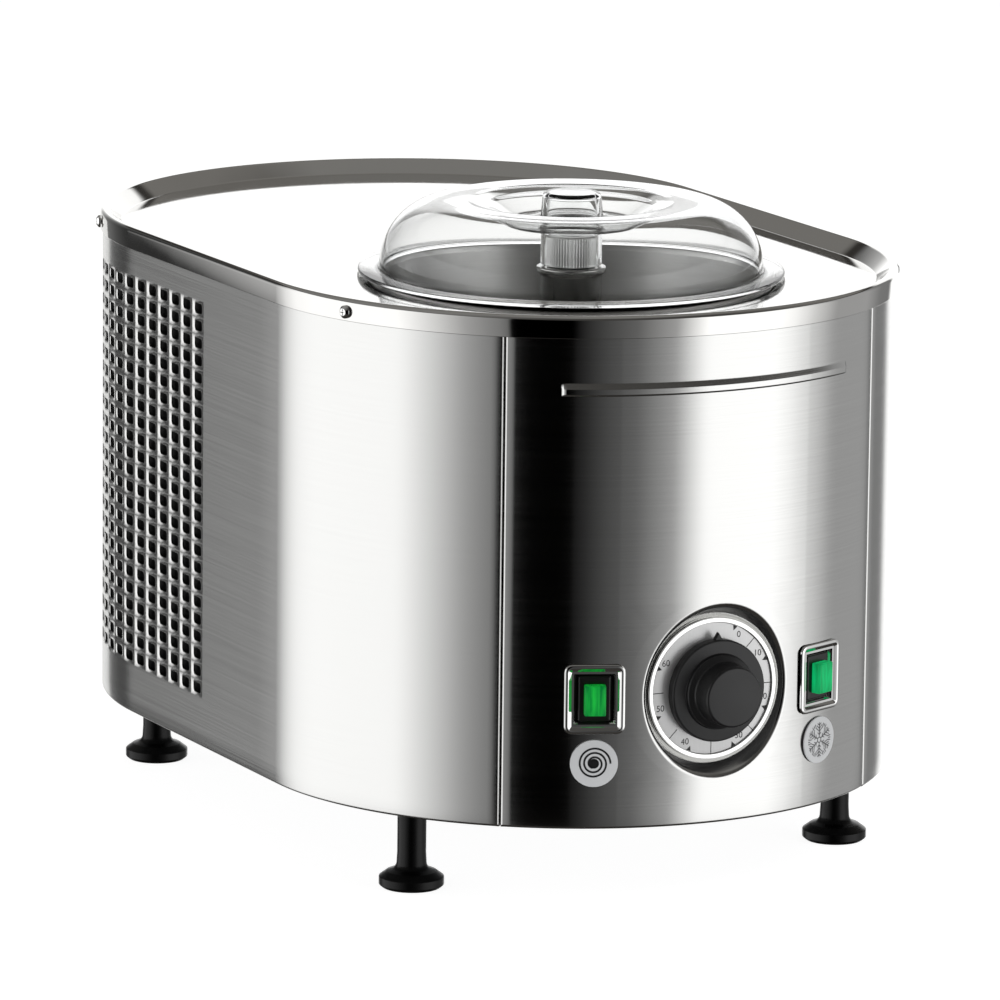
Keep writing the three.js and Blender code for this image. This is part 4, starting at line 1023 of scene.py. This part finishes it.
def knob():
    """Skirted knob: heights are from the dial plate's face."""
    high = PLATE_Y - knob_lo.y
    skirt_r, base_r, grip_r = 23.0 * MM, 16.8 * MM, 13.9 * MM
    outline = rounded([
        (0, -4 * MM, 0), (3 * MM, -4 * MM, 0), (3 * MM, 1 * MM, 0), (skirt_r - 1 * MM, 1 * MM, 0.3 * MM),
        (skirt_r, 2.4 * MM, 0.8 * MM), (skirt_r, 6.7 * MM, 1.0 * MM), (base_r, 6.9 * MM, 0.5 * MM),
        (base_r, 9.0 * MM, 1.2 * MM), (grip_r, 10.6 * MM, 1.3 * MM), (grip_r - 0.3 * MM, high, 1.1 * MM),
        (0, high, 0)], steps=6)
    body = lathe(outline, 120)
    root = 21.5 * MM
    pointer = rounded([(-3 * MM, root, 0), (3 * MM, root, 0), (0, 26.4 * MM, 0.25 * MM)],
                      closed=True, steps=3)
    wedge = loft([[Vector((p.x * k, root + (p.y - root) * k, h)) for p in pointer]
                  for k, h in ((1, 4.0 * MM), (1, 5.2 * MM), (0.8, 5.7 * MM))])
    make("dial_knob", joined(body, wedge), dial_matrix(), knob_plastic,
         "knob", ["timer_knob"], sharp=32)


def text_mesh(words, size, thickness):
    """Flat lettering as (verts, faces), centred on the origin."""
    curve = bpy.data.curves.new("letters", "FONT")
    curve.body = words
    curve.size = size
    curve.align_x = "CENTER"
    curve.align_y = "CENTER"
    curve.extrude = thickness / 2
    holder = linked("letters", curve)
    mesh = bpy.data.meshes.new_from_object(holder.evaluated_get(bpy.context.evaluated_depsgraph_get()))
    verts = [v.co.copy() for v in mesh.vertices]
    faces = [tuple(p.vertices) for p in mesh.polygons]
    bpy.data.objects.remove(holder)
    bpy.data.meshes.remove(mesh)
    return verts, faces


def clock(radius, degrees):
    """A place on the dial, clockwise from the top."""
    angle = math.radians(degrees)
    return Vector((radius * math.sin(angle), radius * math.cos(angle)))


def dial():
    lo, hi = 0.02 * MM, 0.06 * MM
    bore, thick = 4.2 * MM, 0.8 * MM
    rim = DIAL_FACE_R
    face = rounded([(bore, -thick, 0), (rim, -thick, 0), (rim, 0, 0.2 * MM), (bore, 0, 0)], closed=True)
    make("dial_face", lathe(face, 120), dial_matrix(), dial_face, stands_for=["dial_plate"])
    prints = []
    step = 45
    for i, number in enumerate(range(0, 70, 10)):
        at = 22.5 + step * i
        tip = clock(27.2 * MM, at)
        corners = [tip, clock(29.5 * MM, at - 2.2), clock(29.5 * MM, at + 2.2)]
        prints.append(slab([(p.x, p.y) for p in corners], lo, hi))
        beside = 7 if number in (0, 40, 50, 60) else -9
        spot = clock(26.6 * MM, at + beside)
        verts, faces = text_mesh(str(number), 4.0 * MM, hi - lo)
        prints.append((placed(verts, about(spot.x, spot.y, (lo + hi) / 2)), faces))
        if number:
            mark = [clock(r * MM, at - step / 2) for r in (24.2, 29.7)]
            prints.append(ribbon(mark, 0.35 * MM, lo, hi))
    make("dial_print", joined(*prints), dial_matrix(), ink)
    outer, inner = DIAL_RING_R, rim + 0.1 * MM
    trim = rounded([(inner, -thick, 0), (outer, -thick, 0), (outer, 0.9 * MM, 0.35 * MM),
                    (inner, 0.9 * MM, 0.2 * MM)], closed=True)
    make("dial_trim", lathe(trim, 120), dial_matrix(), chrome,
         stands_for=["dial_ring"])


# ------------------------------------------------------------------ push buttons and badges
def push_button(name, side, lens_green):
    """Chrome frame sunk round a black key that carries the lens; heights are from the panel."""
    place = facing(side * SWITCH_ANGLE, BODY_R, SWITCH_Z)
    half_w, half_h, crest, well = 13.5 * MM, 15.7 * MM, 1.5 * MM, -4 * MM
    sill = half_w - 9.3 * MM + 0.1 * MM
    profile = rounded([
        (0, 0.25 * MM, 0), (0.2 * MM, 1.1 * MM, 0.5 * MM), (1.5 * MM, crest, 1.1 * MM),
        (3.4 * MM, 0.2 * MM, 2.4 * MM), (sill + 0.9 * MM, -1.9 * MM, 0.8 * MM),
        (sill + 0.9 * MM, well, 0), (sill, well, 0), (sill, 0.25 * MM, 0)],
        closed=True, steps=4)
    frame_form = rectangular(half_w, half_h, 3.6 * MM, profile, closed=True)
    make(f"{name}_frame", frame_form, place, chrome, stands_for=[f"{name}_bezel"])
    face = -0.5 * MM
    key = rounded([(0, -10.3 * MM, 0), (0, face, 1.0 * MM), (3.0 * MM, face, 0)], steps=4)
    key_form = rectangular(7.3 * MM, 10.3 * MM, 0.9 * MM, key)
    make(f"{name}_key_cap", key_form, place, black_plastic, f"{name}_key",
         [f"{name}_button"])
    top = 4.8 * MM
    dome = rounded([(0.3 * MM, face + 0.3 * MM, 0), (0, face + 0.5 * MM, 0), (0, top - 0.4 * MM, 0.8 * MM),
                    (3.4 * MM, top, 0)], steps=4)
    lens_form = rectangular(4.75 * MM, 6.8 * MM, 0.6 * MM, dome)
    make(f"{name}_lens_cap", lens_form, place, lens_green, f"{name}_key",
         [f"{name}_lens"])


def badge(name, side, lines, line_width):
    place = facing(side * SWITCH_ANGLE, BODY_R, BADGE_Z)
    disc = rounded([(0, 0.3 * MM, 0), (10.6 * MM, 0.3 * MM, 0), (10.6 * MM, 1.0 * MM, 0.3 * MM),
                    (0, 1.0 * MM, 0)])
    make(f"{name}_badge_disc", lathe(disc, 72), place, badge_film,
         stands_for=[f"{name}_badge"])
    printed = joined(*(ribbon(line, line_width, 1.02 * MM, 1.06 * MM) for line in lines))
    make(f"{name}_badge_print", printed, place, ink)


def circle_line(radius, steps=24):
    turns = [a * TAU / steps for a in range(steps + 1)]
    return [(radius * math.cos(turn), radius * math.sin(turn)) for turn in turns]


def spiral_lines():
    """A dot with one arm that winds out from it, clockwise, to the right-hand side."""
    turns, steps = 2.7, 150
    arm = []
    for k in range(steps + 1):
        t = k / steps
        radius = (2.0 + 5.3 * t) * MM
        angle = TAU * turns * (1 - t)
        arm.append((radius * math.cos(angle), radius * math.sin(angle)))
    return [arm, *(circle_line(radius * MM) for radius in (0.45, 1.2, 1.8))]


def crystal_lines():
    """Six branched arms with short strokes between their tips."""
    lines = []
    for arm in range(6):
        angle = TAU * arm / 6 + math.radians(90)
        along = Vector((math.cos(angle), math.sin(angle)))
        lines.append([along * 1.2 * MM, along * 8.0 * MM])
        for reach, length in ((2.4, 1.5), (3.8, 2.3), (5.2, 2.4), (6.6, 1.6)):
            for lean in (-1, 1):
                tip_angle = angle + lean * math.radians(50)
                tip = Vector((math.cos(tip_angle), math.sin(tip_angle)))
                root = along * reach * MM
                lines.append([root, root + tip * length * MM])
        between_arms = angle + TAU / 12
        for offset in (-0.14, 0, 0.14):
            a = between_arms + offset
            ray = Vector((math.cos(a), math.sin(a)))
            lines.append([ray * (6.4 - 6 * abs(offset)) * MM, ray * 7.9 * MM])
    return [*lines, circle_line(1.2 * MM)]


# ------------------------------------------------------------------ kept CAD nodes
# Material, width of the fine edges in millimetres, and the nodes that are dressed with them.
KEPT = {
    "galvanised": (galvanised, 0.25, ["base_pan", "bridge_frame", "fan_shroud", "fan_bracket"]),
    "bearing": (bearing_steel, 0.2, ["drive_shaft", "shaft_bearing", "idler_pin", "motor_rotor",
                                     "fan_motor"]),
    "switch": (black_plastic, 0.25, ["churn_switch", "chill_switch", "mains_inlet"]),
    "fan": (fan_plastic, 0.2, ["fan_blade"]),
    "nylon": (white_plastic, 0.2, ["output_gear", "idler_gear", "timer_body", "run_capacitor",
                                   "terminal_block"]),
    "foam": (foam, 0.5, ["bowl_insulation"]),
    "copper": (copper, 0.0, ["evaporator_coil", "filter_drier", "liquid_line", "suction_pipe",
                             "discharge_pipe", "condenser_outlet"]),
    "rubber": (rubber, 0.4, ["shaft_seal", *(f"compressor_mount_{k}" for k in (1, 2, 3))]),
    "enamel": (enamel, 0.8, ["motor_housing", "compressor"]),
    "aluminium": (aluminium, 0.3, ["gearbox_housing", "gearbox_cover", "condenser"]),
}


def dress_kept_nodes():
    for material, bevel, names in KEPT.values():
        for name in names:
            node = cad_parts[name]
            node.data.materials.clear()
            node.data.materials.append(material)
            if bevel:
                edge = node.modifiers.new("fine edges", "BEVEL")
                edge.width = bevel * MM
                edge.segments = 2
                edge.limit_method = "ANGLE"
                edge.angle_limit = math.radians(50)


# ------------------------------------------------------------------ studio
CAMERA = {"azimuth": -26.91, "elevation": 11.33, "distance": 3.744, "roll": 0.64, "lens": 290.4}
STUDIO_CENTRE = Vector((0, MID_Y, 0.148))
AIM_RIGHT, AIM_DOWN = 5.0 * MM, 6.7 * MM

# Brightness round the horizon, by azimuth in degrees from straight ahead, towards the machine's right:
# three soft boxes, left, front and right, on dark ground.
HORIZON = [
    (-180, 0.2), (-168, 0.1), (-156, 0.03), (-155.3, 0.2), (-153.4, 0.46), (-152.2, 0.62), (-147, 1.1),
    (-140, 1.45), (-130, 1.55), (-90, 1.55), (-78, 1.05), (-64, 0.5), (-57, 0.36), (-52, 0.28),
    (-48.8, 0.2), (-47.8, 0.0), (-26, 0.0), (-18, 0.06), (-4, 0.17), (10, 0.48), (22, 1.6), (50, 1.65),
    (58, 1.4), (68, 0.9), (80, 0.45), (100, 0.45), (112, 0.25), (123, 0.22), (126.5, 1.4), (164, 1.4),
    (170, 0.6), (180, 0.2)]


def world_ramp(tree, value, stops):
    ramp = tree.nodes.new("ShaderNodeValToRGB")
    tree.links.new(value, ramp.inputs["Fac"])
    elements = ramp.color_ramp.elements
    elements[0].position, elements[1].position = stops[0][0], stops[-1][0]
    for position, _ in stops[1:-1]:
        elements.new(position)
    for element, (_, level) in zip(elements, stops):
        element.color = (*(level if isinstance(level, tuple) else grey(level)), 1)
    return ramp.outputs["Color"]


def world_math(tree, operation, *values):
    node = tree.nodes.new("ShaderNodeMath")
    node.operation = operation
    for i, value in enumerate(values):
        if isinstance(value, bpy.types.NodeSocket):
            tree.links.new(value, node.inputs[i])
        else:
            node.inputs[i].default_value = value
    return node.outputs[0]


def mix_colour(tree, factor, first, second):
    mix = tree.nodes.new("ShaderNodeMix")
    mix.data_type = "RGBA"
    tree.links.new(factor, mix.inputs["Factor"])
    for socket, source in ((mix.inputs["A"], first), (mix.inputs["B"], second)):
        if isinstance(source, tuple):
            socket.default_value = (*source, 1)
        else:
            tree.links.new(source, socket)
    return mix.outputs["Result"]


def studio_world():
    """Soft boxes round the horizon, a dark band above them and a dim ceiling.

    Below the horizon the box at the right rear is dimmed, for the body's right side.
    """
    world = bpy.data.worlds.new("studio")
    bpy.context.scene.world = world
    world.use_nodes = True
    tree = world.node_tree
    background = tree.nodes["Background"]
    direction = tree.nodes.new("ShaderNodeTexCoord").outputs["Generated"]
    split = tree.nodes.new("ShaderNodeSeparateXYZ")
    tree.links.new(direction, split.inputs[0])
    back = world_math(tree, "MULTIPLY", split.outputs["Y"], -1.0)
    azimuth = world_math(tree, "ARCTAN2", split.outputs["X"], back)
    turn = world_math(tree, "ADD", world_math(tree, "DIVIDE", azimuth, TAU), 0.5)
    horizon = world_ramp(tree, turn, [((a + 180) / 360, level) for a, level in HORIZON])
    warm, dim, left = (0.22, 0.212, 0.2), (0.075, 0.072, 0.068), (0.26, 0.256, 0.248)
    ceiling = world_ramp(tree, turn, [(0.0, warm), (0.1, left), (0.26, left), (0.4, dim), (0.62, dim),
                                      (0.78, warm), (1.0, warm)])
    height = world_math(tree, "ADD", world_math(tree, "MULTIPLY", split.outputs["Z"], 0.5), 0.5)
    in_band = world_ramp(tree, height, [(0.0, 0.0), (0.2, 0.0), (0.32, 1.0), (0.685, 1.0),
                                        (0.705, 0.0), (1.0, 0.0)])
    overhead = world_ramp(tree, height, [(0.0, 0.0), (0.722, 0.0), (0.738, 1.0), (1.0, 1.0)])
    zenith = world_ramp(tree, height, [(0.0, 0.0), (0.93, 0.0), (0.97, 1.0), (1.0, 1.0)])
    floor_glow = (0.04, 0.037, 0.034)
    above = mix_colour(tree, zenith, ceiling, (0.25, 0.245, 0.235))
    dark = mix_colour(tree, overhead, floor_glow, above)
    below = world_ramp(tree, height, [(0.0, 1.0), (0.43, 1.0), (0.5, 0.0), (1.0, 0.0)])
    rear_right = world_ramp(tree, turn, [(0.0, 0.0), (0.9, 0.0), (0.92, 1.0), (1.0, 1.0)])
    dimmed = world_math(tree, "MULTIPLY", below, rear_right)
    boxes = mix_colour(tree, dimmed, horizon, (0.95, 0.95, 0.94))
    colour = mix_colour(tree, in_band, dark, boxes)
    tree.links.new(colour, background.inputs["Color"])


def area_light(name, place, aim, size, power):
    data = bpy.data.lights.new(name, "AREA")
    data.shape = "DISK"
    data.size = size
    data.energy = power
    light = linked(name, data)
    light.location = place
    light.rotation_mode = "QUATERNION"
    light.rotation_quaternion = (Vector(aim) - Vector(place)).to_track_quat("-Z", "Y")
    light.visible_glossy = False
    light.visible_transmission = False


def studio_lights():
    """Large soft lights for the matt surfaces; the polished ones see only the soft boxes."""
    area_light("key", (1.3, -1.7, 2.2), (0, 0, 0.15), 1.6, 14)
    area_light("fill", (-1.9, -1.6, 1.6), (0, 0, 0.15), 1.8, 6)
    area_light("top", (0, 0.2, 2.6), (0, 0, 0.2), 2.2, 8)


def studio_floor():
    mesh = bpy.data.meshes.new("floor")
    reach = 30
    corners = [(x * reach, y * reach, 0) for x, y in ((-1, -1), (1, -1), (1, 1), (-1, 1))]
    mesh.from_pydata(corners, [], [(0, 1, 2, 3)])
    material = principled("pale floor", grey(0.3), 0.9, Specular_IOR_Level=0.0)
    speckle = noise(material, (3, 3, 3), detail=2.0)
    vary_colour(material, speckle, grey(0.29), grey(0.31))
    shader_of(material).inputs["Emission Color"].default_value = (1, 1, 1, 1)
    shader_of(material).inputs["Emission Strength"].default_value = 0.93
    mesh.materials.append(material)
    floor = linked("floor", mesh)
    floor.visible_glossy = False


def studio_camera():
    a, e = math.radians(CAMERA["azimuth"]), math.radians(CAMERA["elevation"])
    r = math.radians(CAMERA["roll"])
    back = Vector((math.sin(a) * math.cos(e), -math.cos(a) * math.cos(e), math.sin(e)))
    right = Vector((math.cos(a), math.sin(a), 0))
    up = back.cross(right)
    place = STUDIO_CENTRE + back * CAMERA["distance"]
    aim = STUDIO_CENTRE + right * AIM_RIGHT - up * AIM_DOWN
    back = (place - aim).normalized()
    right = Vector((0, 0, 1)).cross(back).normalized()
    up = back.cross(right)
    rolled_right = right * math.cos(r) + up * math.sin(r)
    rolled_up = up * math.cos(r) - right * math.sin(r)
    data = bpy.data.cameras.new("camera")
    data.lens = CAMERA["lens"]
    data.sensor_width = 36
    data.clip_end = 100
    camera = linked("camera", data)
    turned = Matrix((rolled_right, rolled_up, back)).transposed().to_4x4()
    camera.matrix_world = Matrix.Translation(place) @ turned
    bpy.context.scene.camera = camera


def build():
    body_shell()
    dust_mat()
    front_panel()
    top_cover()
    for end in ("front", "rear"):
        for side in ("left", "right"):
            cover_screw(f"cover_screw_{end}_{side}")
            foot(f"foot_{end}_{side}")
    bowl()
    paddle()
    paddle_nut()
    lid()
    knob()
    dial()
    push_button("churn", -1, churn_green)
    push_button("chill", 1, chill_green)
    badge("churn", -1, spiral_lines(), 0.85 * MM)
    badge("chill", 1, crystal_lines(), 0.36 * MM)
    dress_kept_nodes()


studio_camera()
studio_world()
studio_lights()
studio_floor()
build()
bpy.context.scene.view_settings.view_transform = "Standard"
